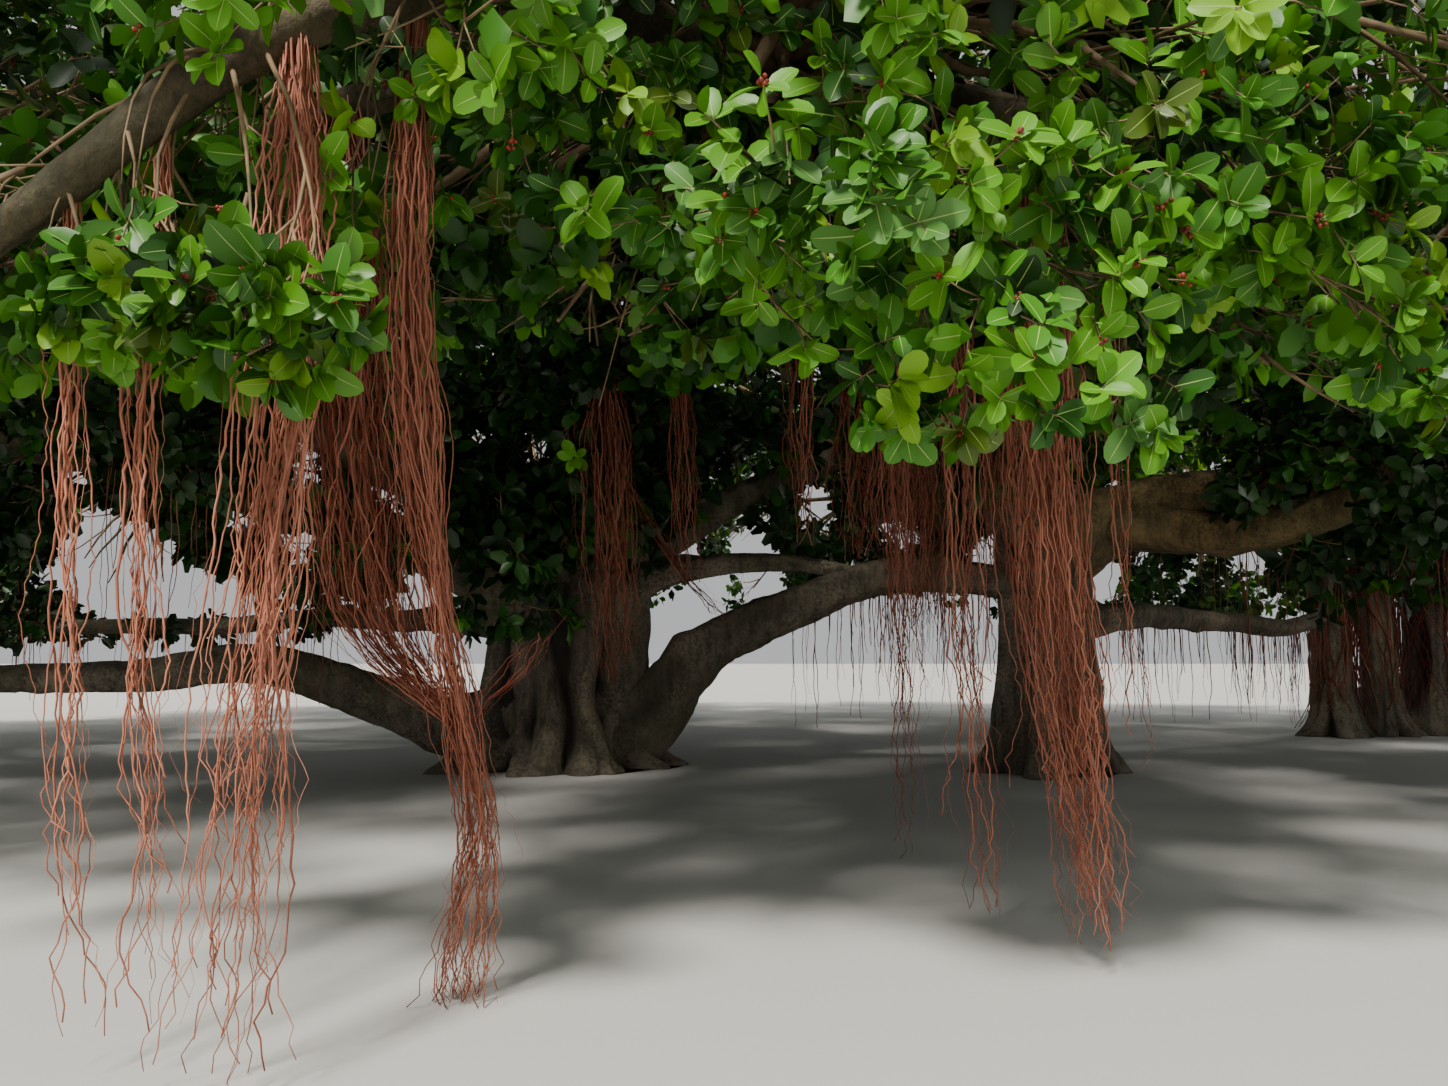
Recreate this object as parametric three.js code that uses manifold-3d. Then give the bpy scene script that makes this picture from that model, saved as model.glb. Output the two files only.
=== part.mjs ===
// Banyan tree: a squat fluted trunk, younger trunks grown from roots that reached the ground,
// low spreading boughs, a wide crown of foliage masses and bundles of hanging aerial roots.
// The origin is the middle of the flat cut under the main trunk. +Z is up, +Y runs to the far side.

import * as THREE from "three";
import { mergeVertices } from "three/addons/utils/BufferGeometryUtils.js";
import Module from "manifold-3d";

const wasm = await Module();
wasm.setup();

// Driving dimensions in metres, turned into millimetres by METRE when a shape is made
const METRE = 1000;
const CLEARANCE = 0.0004;
const MASS_ROUNDNESS = 3.1;
const MASS_MARGIN = 0.05;
const CORE_SHARE = 0.72;
const CORE_UNEVENNESS = 0.1;
const LEAF_TIP_SHARE = 0.985;
const TWIG_START_SHARE = 0.3;
const TWIG_RADIUS = 0.06;
const TWIG_TIP_RADIUS = 0.03;
const STEM_SHARE_OF_TIP = 0.86;
const STEM_OVERLAP = 0.12;
const LEAF_LENGTH = 1.0;
const LEAF_WIDTH = 0.66;
const LEAF_THICKNESS = 0.05;
const LEAF_WIDEST_SHARE = 0.55;
const LEAF_TURN = 0.9;
const LEAF_CLEARANCE = 0.1;
const SHORTEST_REACH = 1.6;
const STRAND_RADIUS = 0.026;
const HEAD_RADIUS = 0.07;
const HEAD_DROP = 0.3;
const BUNDLE_CLEARANCE = 0.05;
const GOLDEN_ANGLE = Math.PI * (3 - Math.sqrt(5));

// Colours and finish of each kind of piece
const BARK = { color: 0x7b6a55, roughness: 0.92, metalness: 0 };
const BOUGH_BARK = { color: 0x84725a, roughness: 0.9, metalness: 0 };
const FOLIAGE = { color: 0x4c7a27, roughness: 0.5, metalness: 0 };
const AERIAL_ROOT = { color: 0x96482c, roughness: 0.85, metalness: 0 };

// Upright stems: foot, lean at the top, and radius against height from the flat cut at the ground
const STEMS = [
  {
    name: "main_trunk",
    foot: [0, 0],
    lean: [0.12, 0.15],
    profile: [[0, 1.5], [0.25, 1.22], [0.7, 1.04], [1.3, 0.96], [2.0, 0.98], [2.6, 0.9], [3.05, 0.62], [3.2, 0.3]],
    lobes: { counts: [5, 8], depths: [0.11, 0.06], turns: [0.6, 1.9] },
    around: 26,
  },
  {
    name: "second_trunk",
    foot: [6.3, -0.8],
    lean: [0.1, 0.1],
    profile: [[0, 0.88], [0.4, 0.68], [1.2, 0.58], [2.4, 0.56], [3.6, 0.58], [4.3, 0.44], [4.5, 0.26]],
    lobes: { counts: [4, 7], depths: [0.1, 0.07], turns: [0.2, 1.1] },
    around: 18,
  },
  {
    name: "far_trunk_west",
    foot: [13.4, 5.2],
    lean: [0.1, 0.2],
    profile: [[0, 0.64], [0.3, 0.44], [1.4, 0.34], [2.6, 0.32], [3.5, 0.26], [3.6, 0.16]],
    lobes: { counts: [4, 6], depths: [0.1, 0.06], turns: [0.9, 0.1] },
    around: 12,
  },
  {
    name: "far_trunk_middle",
    foot: [14.4, 5.45],
    lean: [-0.1, -0.1],
    profile: [[0, 0.6], [0.3, 0.39], [1.4, 0.3], [2.8, 0.28], [3.9, 0.24], [4.0, 0.15]],
    lobes: { counts: [3, 6], depths: [0.09, 0.07], turns: [1.4, 0.7] },
    around: 12,
  },
  {
    name: "far_trunk_east",
    foot: [15.38, 5.75],
    lean: [0.15, 0],
    profile: [[0, 0.68], [0.3, 0.48], [1.4, 0.37], [2.6, 0.34], [3.6, 0.27], [3.7, 0.16]],
    lobes: { counts: [4, 7], depths: [0.1, 0.06], turns: [0.3, 2.2] },
    around: 12,
  },
];

// Boughs: the way of the middle line and the radius at each of its points
const BOUGHS = [
  {
    name: "bough_west_low",
    way: [[-0.5, 0, 0.55], [-1.5, -0.1, 0.5], [-2.4, -0.2, 0.9], [-3.7, -0.3, 1.28], [-5.6, -0.3, 1.22],
      [-7.8, -0.1, 1.16], [-9.4, 0.5, 1.7], [-10.6, 1.3, 2.7]],
    radii: [0.4, 0.33, 0.27, 0.24, 0.2, 0.18, 0.16, 0.13],
  },
  {
    name: "bough_west_high",
    way: [[-0.3, 0.5, 1.75], [-1.6, 1.2, 1.95], [-4.0, 2.2, 2.04], [-6.6, 2.6, 1.94], [-9.3, 3.2, 2.1],
      [-10.6, 4.5, 3.1]],
    radii: [0.24, 0.17, 0.14, 0.12, 0.11, 0.1],
  },
  {
    name: "bough_arch_rise",
    way: [[0.4, -0.05, 0.35], [1.14, -0.1, 0.66], [1.74, -0.15, 1.32], [2.42, -0.2, 1.82], [3.08, -0.3, 2.12]],
    radii: [0.5, 0.4, 0.34, 0.3, 0.27],
  },
  {
    name: "bough_arch_span",
    way: [[3.06, -0.3, 2.11], [3.88, -0.4, 2.41], [4.67, -0.5, 2.53], [5.45, -0.6, 2.5], [6.2, -0.75, 2.4]],
    radii: [0.27, 0.25, 0.23, 0.22, 0.22],
  },
  {
    name: "bough_arch_upper",
    way: [[0.5, 0, 2.1], [1.2, -0.05, 2.5], [2.2, -0.1, 2.72], [3.2, -0.3, 2.68], [4.1, -0.42, 2.5]],
    radii: [0.3, 0.2, 0.15, 0.12, 0.1],
  },
  {
    name: "bough_upper_east",
    way: [[0.5, 0.25, 2.7], [1.6, 0.3, 3.2], [2.97, 0.5, 3.95], [4.6, 1.6, 4.75], [5.8, 2.7, 5.3]],
    radii: [0.3, 0.23, 0.19, 0.16, 0.13],
  },
  {
    name: "bough_crown_south",
    way: [[0.15, -0.35, 2.8], [0.4, -1.4, 3.9], [0.75, -2.6, 4.8], [0.9, -3.3, 5.3]],
    radii: [0.34, 0.24, 0.19, 0.16],
  },
  {
    name: "bough_south_west",
    way: [[-0.35, -0.4, 2.6], [-1.5, -1.9, 3.5], [-2.9, -3.9, 4.2], [-3.9, -5.5, 4.5]],
    radii: [0.34, 0.23, 0.18, 0.15],
  },
  {
    name: "bough_west_south",
    way: [[-0.45, -0.15, 2.2], [-2.2, -1.0, 3.05], [-5.2, -2.3, 3.75], [-8.2, -3.3, 4.2]],
    radii: [0.33, 0.22, 0.18, 0.14],
  },
  {
    name: "bough_crown_west",
    way: [[-0.35, 0, 2.8], [-1.6, -0.2, 4.0], [-3.1, -0.6, 4.95], [-4.3, -0.9, 5.5]],
    radii: [0.33, 0.23, 0.19, 0.16],
  },
  {
    name: "bough_crown_north_west",
    way: [[-0.2, 0.45, 2.7], [-1.4, 1.9, 4.0], [-2.7, 3.3, 4.9], [-3.6, 4.1, 5.5]],
    radii: [0.32, 0.22, 0.18, 0.15],
  },
  {
    name: "bough_north",
    way: [[0, 0.6, 2.3], [-0.3, 2.6, 3.4], [-1.0, 5.4, 4.0], [-1.7, 8.1, 4.4]],
    radii: [0.33, 0.23, 0.18, 0.14],
  },
  {
    name: "bough_crown_north",
    way: [[0.3, 0.45, 2.8], [0.75, 1.5, 4.1], [0.95, 2.4, 5.0], [1.0, 2.9, 5.5]],
    radii: [0.3, 0.22, 0.18, 0.15],
  },
  {
    name: "bough_south",
    way: [[6.15, -1.0, 3.3], [5.5, -2.3, 4.1], [4.4, -4.0, 4.75], [3.2, -5.6, 5.0]],
    radii: [0.32, 0.24, 0.19, 0.16],
  },
  {
    name: "bough_north_east",
    way: [[6.4, -0.5, 3.4], [6.5, 1.4, 4.0], [6.1, 5.0, 4.25], [5.7, 8.4, 4.45]],
    radii: [0.3, 0.22, 0.18, 0.14],
  },
  {
    name: "bough_east_main",
    way: [[6.5, -0.85, 3.0], [8.2, -1.4, 3.45], [10.6, -1.9, 3.7], [12.6, -2.3, 4.2]],
    radii: [0.42, 0.3, 0.23, 0.17],
  },
  {
    name: "bough_east_low",
    way: [[7.3, -1.1, 3.2], [8.4, -1.9, 2.9], [9.2, -3.3, 3.3], [9.5, -4.7, 4.3]],
    radii: [0.28, 0.24, 0.19, 0.15],
  },
  {
    name: "bough_east_link",
    way: [[6.4, -0.7, 1.9], [8.6, 0.7, 2.02], [10.9, 2.5, 1.92], [12.4, 4.0, 2.05], [13.5, 5.3, 2.4]],
    radii: [0.24, 0.17, 0.15, 0.14, 0.14],
  },
];

// Foliage masses: the middle and half sizes of each one's space, what carries it, and its branches.
// Lean is how much the space rises for each metre toward +Y, so that its hem hangs lower at the rim.
const MASSES = [
  {
    name: "foliage_south",
    middle: [2.6, -8.0, 5.6],
    half: [4.5, 3.9, 2.3],
    carrier: "bough_south",
    lean: 0.3,
    coreShare: 0.68,
    branches: [
      { name: "hem_branch_west",
        way: [[2.6, -8.0, 4.95], [1.6, -9.9, 4.6], [0.5, -10.75, 3.95], [-0.4, -10.9, 3.15], [-0.9, -10.8, 2.8]],
        radii: [0.14, 0.13, 0.12, 0.11, 0.06] },
      { name: "hem_branch_middle",
        way: [[2.6, -8.0, 4.95], [1.2, -8.9, 4.75], [0.3, -9.6, 4.25], [-0.5, -9.7, 3.8]],
        radii: [0.12, 0.1, 0.08, 0.05] },
      { name: "hem_branch_east",
        way: [[2.6, -8.0, 4.95], [3.4, -8.9, 4.6], [3.85, -9.6, 4.15], [4.9, -10.4, 3.3]],
        radii: [0.13, 0.12, 0.1, 0.05] },
    ],
  },
  { name: "foliage_south_west", middle: [-4.9, -7.6, 5.3], half: [4.3, 4.0, 2.4],
    carrier: "bough_south_west",
    lean: 0.25 },
  { name: "foliage_west_south", middle: [-11.3, -4.2, 4.9], half: [4.3, 4.2, 2.7],
    carrier: "bough_west_south" },
  { name: "foliage_west", middle: [-13.1, 2.6, 4.7], half: [4.0, 4.0, 2.6],
    carrier: "bough_west_low" },
  { name: "foliage_north_west", middle: [-9.8, 8.8, 5.2], half: [4.3, 4.2, 2.4],
    carrier: "bough_west_high" },
  { name: "foliage_north", middle: [-2.2, 11.0, 4.9], half: [4.3, 4.1, 2.7],
    carrier: "bough_north" },
  { name: "foliage_north_middle", middle: [5.4, 11.3, 5.3], half: [4.3, 4.1, 2.4],
    carrier: "bough_north_east" },
  { name: "foliage_north_east", middle: [12.8, 9.8, 4.85], half: [4.3, 4.1, 2.7],
    carrier: "far_trunk_west" },
  { name: "foliage_east_north", middle: [17.4, 4.2, 4.8], half: [4.1, 4.2, 2.7],
    carrier: "far_trunk_east" },
  { name: "foliage_east", middle: [15.8, -2.8, 5.1], half: [4.3, 4.1, 2.6],
    carrier: "bough_east_main" },
  { name: "foliage_south_east", middle: [9.9, -7.2, 5.5], half: [4.4, 4.1, 2.3],
    carrier: "bough_east_low",
    lean: 0.25 },
  { name: "crown_west", middle: [-6.2, -1.2, 7.3], half: [4.3, 4.1, 2.7],
    carrier: "bough_crown_west" },
  { name: "crown_north_west", middle: [-5.2, 5.2, 7.4], half: [4.2, 4.1, 2.8],
    carrier: "bough_crown_north_west" },
  { name: "crown_south", middle: [0.6, -3.9, 7.5], half: [4.2, 4.1, 2.8],
    carrier: "bough_crown_south" },
  { name: "crown_north", middle: [1.2, 3.7, 7.6], half: [4.2, 4.1, 2.9],
    carrier: "bough_crown_north" },
  { name: "crown_south_east", middle: [6.8, -2.8, 7.5], half: [4.2, 4.1, 2.8],
    carrier: "second_trunk" },
  { name: "crown_north_east", middle: [7.9, 4.6, 7.5], half: [4.2, 4.1, 2.8],
    carrier: "bough_upper_east" },
  { name: "crown_east", middle: [13.0, 1.5, 7.2], half: [4.2, 4.1, 2.6],
    carrier: "far_trunk_middle" },
];
const TWIGS_OF_A_MASS = 15;

// Aerial root bundles: the carrier, the way from it down, the spread at each point and the strands
const ROOT_BUNDLES = [
  { name: "roots_front_a", carrier: "hem_branch_west", strands: 3,
    way: [[-0.26, -10.88, 3.28], [-0.24, -10.85, 2.4], [-0.18, -10.85, 1.2], [-0.06, -10.85, 0.12]],
    spread: [0.03, 0.07, 0.08, 0.12] },
  { name: "roots_front_b", carrier: "hem_branch_west", strands: 3,
    way: [[0.06, -10.85, 3.6], [0.0, -10.8, 2.4], [0.08, -10.8, 1.2], [0.18, -10.8, 0.14]],
    spread: [0.03, 0.07, 0.07, 0.12] },
  { name: "roots_front_c", carrier: "hem_branch_west", strands: 5,
    way: [[0.52, -10.76, 3.95], [0.6, -10.95, 2.9], [0.56, -11.0, 1.6], [0.5, -11.02, 0.05]],
    spread: [0.06, 0.16, 0.18, 0.2] },
  { name: "roots_front_d", carrier: "hem_branch_west", strands: 4,
    way: [[0.9, -10.5, 4.2], [0.93, -10.3, 3.2], [1.0, -10.05, 2.1], [1.1, -10.0, 1.15], [1.06, -10.0, 0]],
    spread: [0.05, 0.12, 0.12, 0.04, 0.12] },
  { name: "roots_front_e", carrier: "hem_branch_middle", strands: 4,
    way: [[0.3, -9.6, 4.25], [0.36, -9.6, 3.2], [0.45, -9.6, 2.2], [0.8, -9.7, 1.5]],
    spread: [0.06, 0.2, 0.22, 0.1] },
  { name: "roots_middle_f", carrier: "bough_crown_south", strands: 4,
    way: [[0.86, -3.1, 5.15], [0.9, -3.15, 4.0], [0.98, -3.15, 2.6], [1.05, -3.15, 1.15]],
    spread: [0.08, 0.3, 0.3, 0.16] },
  { name: "roots_middle_g", carrier: "bough_south", strands: 3,
    way: [[3.5, -5.25, 4.95], [3.45, -5.3, 4.1], [3.4, -5.3, 3.2], [3.4, -5.3, 2.3]],
    spread: [0.08, 0.22, 0.24, 0.16] },
  { name: "roots_middle_h", carrier: "bough_south", strands: 4,
    way: [[4.3, -4.15, 4.75], [4.2, -4.2, 4.0], [4.15, -4.2, 3.0], [4.15, -4.2, 1.6]],
    spread: [0.08, 0.25, 0.28, 0.2] },
  { name: "roots_front_k", carrier: "hem_branch_east", strands: 3,
    way: [[3.45, -8.98, 4.56], [3.5, -8.95, 3.0], [3.52, -8.9, 1.6], [3.6, -8.9, 0.1]],
    spread: [0.05, 0.12, 0.12, 0.12] },
  { name: "roots_front_l", carrier: "hem_branch_east", strands: 6,
    way: [[3.8, -9.52, 4.2], [3.76, -9.55, 3.0], [3.78, -9.6, 1.8], [3.96, -9.6, 0.12]],
    spread: [0.07, 0.22, 0.24, 0.12] },
  { name: "roots_arch", carrier: "bough_arch_span", strands: 3,
    way: [[4.7, -0.5, 2.5], [4.7, -0.55, 2.0], [4.72, -0.55, 1.4], [4.7, -0.55, 0.9]],
    spread: [0.08, 0.3, 0.32, 0.3] },
  { name: "roots_link_near", carrier: "bough_east_link", strands: 3,
    way: [[8.7, 0.8, 2.0], [8.7, 0.8, 1.5], [8.7, 0.85, 1.0], [8.7, 0.85, 0.4]],
    spread: [0.08, 0.3, 0.34, 0.3] },
  { name: "roots_link_far", carrier: "bough_east_link", strands: 3,
    way: [[11.6, 3.2, 1.96], [11.6, 3.2, 1.5], [11.6, 3.2, 1.0], [11.6, 3.2, 0.3]],
    spread: [0.08, 0.3, 0.3, 0.3] },
  { name: "roots_east", carrier: "bough_east_main", strands: 3,
    way: [[10.8, -1.95, 3.7], [10.8, -1.95, 2.8], [10.8, -1.95, 1.9], [10.8, -1.95, 0.9]],
    spread: [0.08, 0.26, 0.3, 0.24] },
  { name: "roots_west", carrier: "bough_west_high", strands: 3,
    way: [[-7.6, 2.8, 1.95], [-7.6, 2.8, 1.5], [-7.6, 2.8, 1.0], [-7.6, 2.8, 0.4]],
    spread: [0.07, 0.24, 0.26, 0.24] },
  { name: "roots_south_west", carrier: "bough_south_west", strands: 3,
    way: [[-2.9, -3.9, 4.2], [-2.9, -3.95, 3.3], [-2.9, -3.95, 2.3], [-2.9, -3.95, 1.1]],
    spread: [0.08, 0.24, 0.26, 0.2] },
  { name: "roots_north", carrier: "bough_north", strands: 3,
    way: [[-0.9, 5.3, 4.0], [-0.9, 5.3, 3.1], [-0.9, 5.3, 2.1], [-0.9, 5.3, 1.0]],
    spread: [0.08, 0.24, 0.26, 0.2] },
  { name: "roots_north_east", carrier: "bough_north_east", strands: 3,
    way: [[6.1, 5.0, 4.25], [6.1, 5.0, 3.3], [6.1, 5.0, 2.2], [6.1, 5.0, 1.0]],
    spread: [0.08, 0.24, 0.26, 0.2] },
];

// Steps of a mesh in proportion to the length of the way
const BOUGH_SIDES = 7;
const BOUGH_STEP = 1.35;
const BRANCH_SIDES = 5;
const STRAND_SIDES = 3;
const STRAND_STEPS = 5;

const point = ([x, y, z]) => new THREE.Vector3(x, y, z);

// A repeatable number from 0 to 1 for a pair of whole numbers
function chance(first, second) {
  const raw = Math.sin(first * 127.1 + second * 311.7) * 43758.5453;
  return raw - Math.floor(raw);
}

// A closed solid from corner points in metres and triples of corner numbers
function solidFrom(corners, faces) {
  const vertProperties = new Float32Array(corners.length * 3);
  corners.forEach((corner, index) => {
    vertProperties.set([corner.x * METRE, corner.y * METRE, corner.z * METRE], index * 3);
  });
  return new wasm.Manifold(new wasm.Mesh({
    numProp: 3,
    vertProperties,
    triVerts: Uint32Array.from(faces.flat()),
  }));
}

// Side faces between stacked rings, a fan over the first, and a fan or a pointed tip over the last
function closeRings(rings, tip = null) {
  const around = rings[0].length;
  const faces = [];
  for (let ring = 0; ring + 1 < rings.length; ring += 1) {
    for (let side = 0; side < around; side += 1) {
      const next = (side + 1) % around;
      const low = ring * around;
      const high = low + around;
      faces.push([low + side, low + next, high + next], [low + side, high + next, high + side]);
    }
  }
  const last = (rings.length - 1) * around;
  for (let side = 1; side + 1 < around; side += 1) {
    faces.push([0, side + 1, side]);
    if (!tip) faces.push([last, last + side, last + side + 1]);
  }
  if (!tip) return solidFrom(rings.flat(), faces);
  for (let side = 0; side < around; side += 1) {
    faces.push([last + side, last + ((side + 1) % around), last + around]);
  }
  return solidFrom([...rings.flat(), tip], faces);
}

// The value of a list at a share of its length, between its entries in a straight line
function along(values, share) {
  const place = Math.min(Math.max(share, 0), 1) * (values.length - 1);
  const low = Math.min(Math.floor(place), values.length - 2);
  return values[low] + (values[low + 1] - values[low]) * (place - low);
}

// A smooth curve through the points of a way
function curveOf(way) {
  return new THREE.CatmullRomCurve3(way.map(point), false, "centripetal");
}

// A tapering limb: rings square to the curve, with the radius drawn from the list at each point
function limb({ way, radii, sides, steps }, grow = 0) {
  const curve = curveOf(way);
  const frames = curve.computeFrenetFrames(steps, false);
  const rings = [];
  for (let step = 0; step <= steps; step += 1) {
    const share = step / steps;
    const middle = curve.getPointAt(share);
    const radius = along(radii, curve.getUtoTmapping(share)) + grow / Math.cos(Math.PI / sides);
    if (step === 0) middle.addScaledVector(frames.tangents[step], -grow);
    if (step === steps) middle.addScaledVector(frames.tangents[step], grow);
    rings.push(Array.from({ length: sides }, (_, side) => {
      const turn = (2 * Math.PI * side) / sides;
      return middle.clone()
        .addScaledVector(frames.normals[step], radius * Math.cos(turn))
        .addScaledVector(frames.binormals[step], radius * Math.sin(turn));
    }));
  }
  return closeRings(rings);
}

// Sides and steps for a limb of a given kind
function withSteps(spec, sides, stepLength) {
  return { ...spec, sides, steps: Math.max(3, Math.round(curveOf(spec.way).getLength() / stepLength)) };
}

// An upright stem: rings with lobes, so that it is fluted like several grown together
function uprightStem(stem, grow = 0) {
  const { foot, lean, profile, lobes, around } = stem;
  const top = profile.at(-1)[0];
  const rings = profile.map(([height, radius], level) => {
    const raised = level === profile.length - 1 ? height + grow : height;
    const lobeStrength = 1.25 - (0.75 * height) / top;
    return Array.from({ length: around }, (_, side) => {
      const turn = (2 * Math.PI * side) / around;
      const swell = lobes.counts.reduce((sum, count, index) => (
        sum + lobes.depths[index] * Math.cos(count * turn + lobes.turns[index])), 0);
      const out = radius * (1 + swell * lobeStrength) + 1.5 * grow;
      return new THREE.Vector3(
        foot[0] + (lean[0] * height) / top + out * Math.cos(turn),
        foot[1] + (lean[1] * height) / top + out * Math.sin(turn),
        raised,
      );
    });
  });
  return closeRings(rings);
}

// The largest separate piece of a solid
function largestPiece(solid) {
  return solid.decompose().reduce((best, piece) => (piece.volume() > best.volume() ? piece : best));
}

// The solid with each tool cut out of it
function cutBy(solid, tools) {
  return largestPiece(tools.reduce((left, tool) => left.subtract(tool), solid));
}

// Every limb already placed: its grown solid for cutting, and balls along it for keeping clear
const placed = new Map();
const balls = [];

function remember(name, grown, spec) {
  placed.set(name, { grown, spec });
  const curve = curveOf(spec.way);
  const count = Math.ceil(curve.getLength() / 0.2);
  for (let index = 0; index <= count; index += 1) {
    const share = index / count;
    balls.push({
      name,
      middle: curve.getPointAt(share),
      radius: along(spec.radii, curve.getUtoTmapping(share)),
    });
  }
}

function isClear(spots, margin, ignored) {
  return spots.every((spot) => balls.every((ball) => (
    ignored.includes(ball.name) || spot.distanceTo(ball.middle) > ball.radius + margin)));
}

const pieces = [];

// Stems first, then boughs: each is cut clear of every limb placed before it
const placedSolids = () => [...placed.values()].map((entry) => entry.grown);
for (const stem of STEMS) {
  const top = stem.profile.at(-1)[0];
  const spec = {
    way: [[...stem.foot, 0], [stem.foot[0] + stem.lean[0], stem.foot[1] + stem.lean[1], top]],
    radii: stem.profile.map(([, radius]) => radius),
  };
  pieces.push({ name: stem.name, solid: cutBy(uprightStem(stem), placedSolids()), finish: BARK });
  remember(stem.name, uprightStem(stem, CLEARANCE), spec);
}
for (const bough of BOUGHS) {
  const spec = withSteps(bough, BOUGH_SIDES, BOUGH_STEP);
  const solid = cutBy(limb(spec), placedSolids());
  pieces.push({ name: bough.name, solid, finish: BOUGH_BARK });
  remember(bough.name, limb(spec, CLEARANCE), spec);
}

// How far out a spot lies in a mass's space: 0 in its middle, 1 on its surface
function depthIn(mass, spot) {
  const away = [spot.x - mass.middle[0], spot.y - mass.middle[1], spot.z - mass.middle[2]];
  away[2] -= (mass.lean ?? 0) * away[1];
  const sum = away.reduce((total, span, index) => total + Math.abs(span / mass.half[index]) ** MASS_ROUNDNESS, 0);
  return sum ** (1 / MASS_ROUNDNESS);
}

// A spot belongs to the mass in whose space it lies deepest
function isInside(mass, spot) {
  const own = depthIn(mass, spot);
  return own < 1 && MASSES.every((other) => other === mass || depthIn(other, spot) > own + MASS_MARGIN);
}

// The length of the straight way from a mass's middle to the edge of its space
function reach(mass, direction) {
  const middle = point(mass.middle);
  const step = 0.05;
  let length = 0;
  while (isInside(mass, middle.clone().addScaledVector(direction, length + step))) length += step;
  return length;
}

// Evenly spread directions, each turned from the last by the golden angle
function spreadDirection(index, count, turn) {
  const height = 1 - (2 * index + 1) / count;
  const flat = Math.sqrt(1 - height * height);
  const angle = index * GOLDEN_ANGLE + turn;
  return new THREE.Vector3(flat * Math.cos(angle), flat * Math.sin(angle), height);
}

// The dense inside of a mass: a ball drawn out to a share of the reach on each side
function denseCore(mass, seed) {
  const ball = new THREE.IcosahedronGeometry(1, 1);
  ball.deleteAttribute("normal");
  ball.deleteAttribute("uv");
  const merged = mergeVertices(ball);
  const places = merged.getAttribute("position");
  const middle = point(mass.middle);
  const corners = Array.from({ length: places.count }, (_, index) => {
    const direction = new THREE.Vector3().fromBufferAttribute(places, index).normalize();
    const share = (mass.coreShare ?? CORE_SHARE) + CORE_UNEVENNESS * (chance(seed, index) - 0.5);
    return middle.clone().addScaledVector(direction, share * reach(mass, direction));
  });
  const order = Array.from(merged.getIndex().array);
  const faces = Array.from({ length: order.length / 3 }, (_, index) => order.slice(index * 3, index * 3 + 3));
  return solidFrom(corners, faces);
}

// A three-sided twig that widens into a leaf: rings of both edges and the keel under the midrib, then the tip
function leafyTwig(start, root, direction, faceUp) {
  const side = new THREE.Vector3().crossVectors(direction, faceUp).normalize();
  const normal = new THREE.Vector3().crossVectors(side, direction).normalize();
  const ring = (middle, width, depth) => [
    middle.clone().addScaledVector(side, width),
    middle.clone().addScaledVector(normal, -depth),
    middle.clone().addScaledVector(side, -width),
  ];
  const widest = root.clone().addScaledVector(direction, LEAF_WIDEST_SHARE * LEAF_LENGTH);
  const tip = root.clone().addScaledVector(direction, LEAF_LENGTH);
  const edge = ring(widest, LEAF_WIDTH / 2, LEAF_THICKNESS);
  return {
    solid: closeRings([ring(start, TWIG_RADIUS, TWIG_RADIUS), ring(root, TWIG_TIP_RADIUS, TWIG_TIP_RADIUS), edge], tip),
    spots: [start.clone().lerp(root, 0.7), root, ...edge, tip],
  };
}

// One leafy twig toward the edge of the space, or none where it would leave it or touch a limb
function fittingTwig(mass, direction, seed, clearOf) {
  const middle = point(mass.middle);
  const length = reach(mass, direction);
  const faceUp = Math.abs(direction.z) > 0.85 ? new THREE.Vector3(1, 0, 0) : new THREE.Vector3(0, 0, 1);
  const root = middle.clone().addScaledVector(direction, LEAF_TIP_SHARE * length - LEAF_LENGTH);
  const start = middle.clone().addScaledVector(direction, TWIG_START_SHARE * length);
  const heading = direction.clone().applyAxisAngle(faceUp, LEAF_TURN * (chance(seed, 3) - 0.5));
  const { solid, spots } = leafyTwig(start, root, heading, faceUp);
  const fits = length > SHORTEST_REACH && spots.slice(1).every((spot) => isInside(mass, spot));
  return fits && clearOf(spots, solid) ? [solid] : [];
}

// Twigs from a mass's middle by the golden angle rule
function twigsOf(mass, seed, clearOf) {
  return Array.from({ length: TWIGS_OF_A_MASS }, (_, index) => (
    fittingTwig(mass, spreadDirection(index, TWIGS_OF_A_MASS, seed), seed * 50 + index, clearOf))).flat();
}

// The stem of a mass: it starts inside its carrier's end, from which it is then cut clear
function stemOf(mass) {
  const carrier = placed.get(mass.carrier).spec;
  const curve = curveOf(carrier.way);
  const end = curve.getPointAt(1);
  const heading = curve.getTangentAt(1);
  const radius = carrier.radii.at(-1) * STEM_SHARE_OF_TIP;
  const start = end.clone().addScaledVector(heading, -STEM_OVERLAP);
  const middle = point(mass.middle);
  const lead = end.clone().addScaledVector(heading, 0.35 * end.distanceTo(middle));
  return {
    way: [start, end, lead, middle].map((spot) => spot.toArray()),
    radii: [radius, radius, radius * 0.85, radius * 0.7],
    sides: BRANCH_SIDES,
    steps: 4,
  };
}

const massParts = MASSES.map((mass, index) => {
  const stem = stemOf(mass);
  const branches = (mass.branches ?? []).map((branch) => withSteps(branch, BRANCH_SIDES, BOUGH_STEP));
  branches.forEach((branch) => remember(branch.name, limb(branch, CLEARANCE), branch));
  remember(`stem of ${mass.name}`, limb(stem, CLEARANCE), stem);
  return { mass, stem, branches, seed: index + 1 };
});

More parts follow.
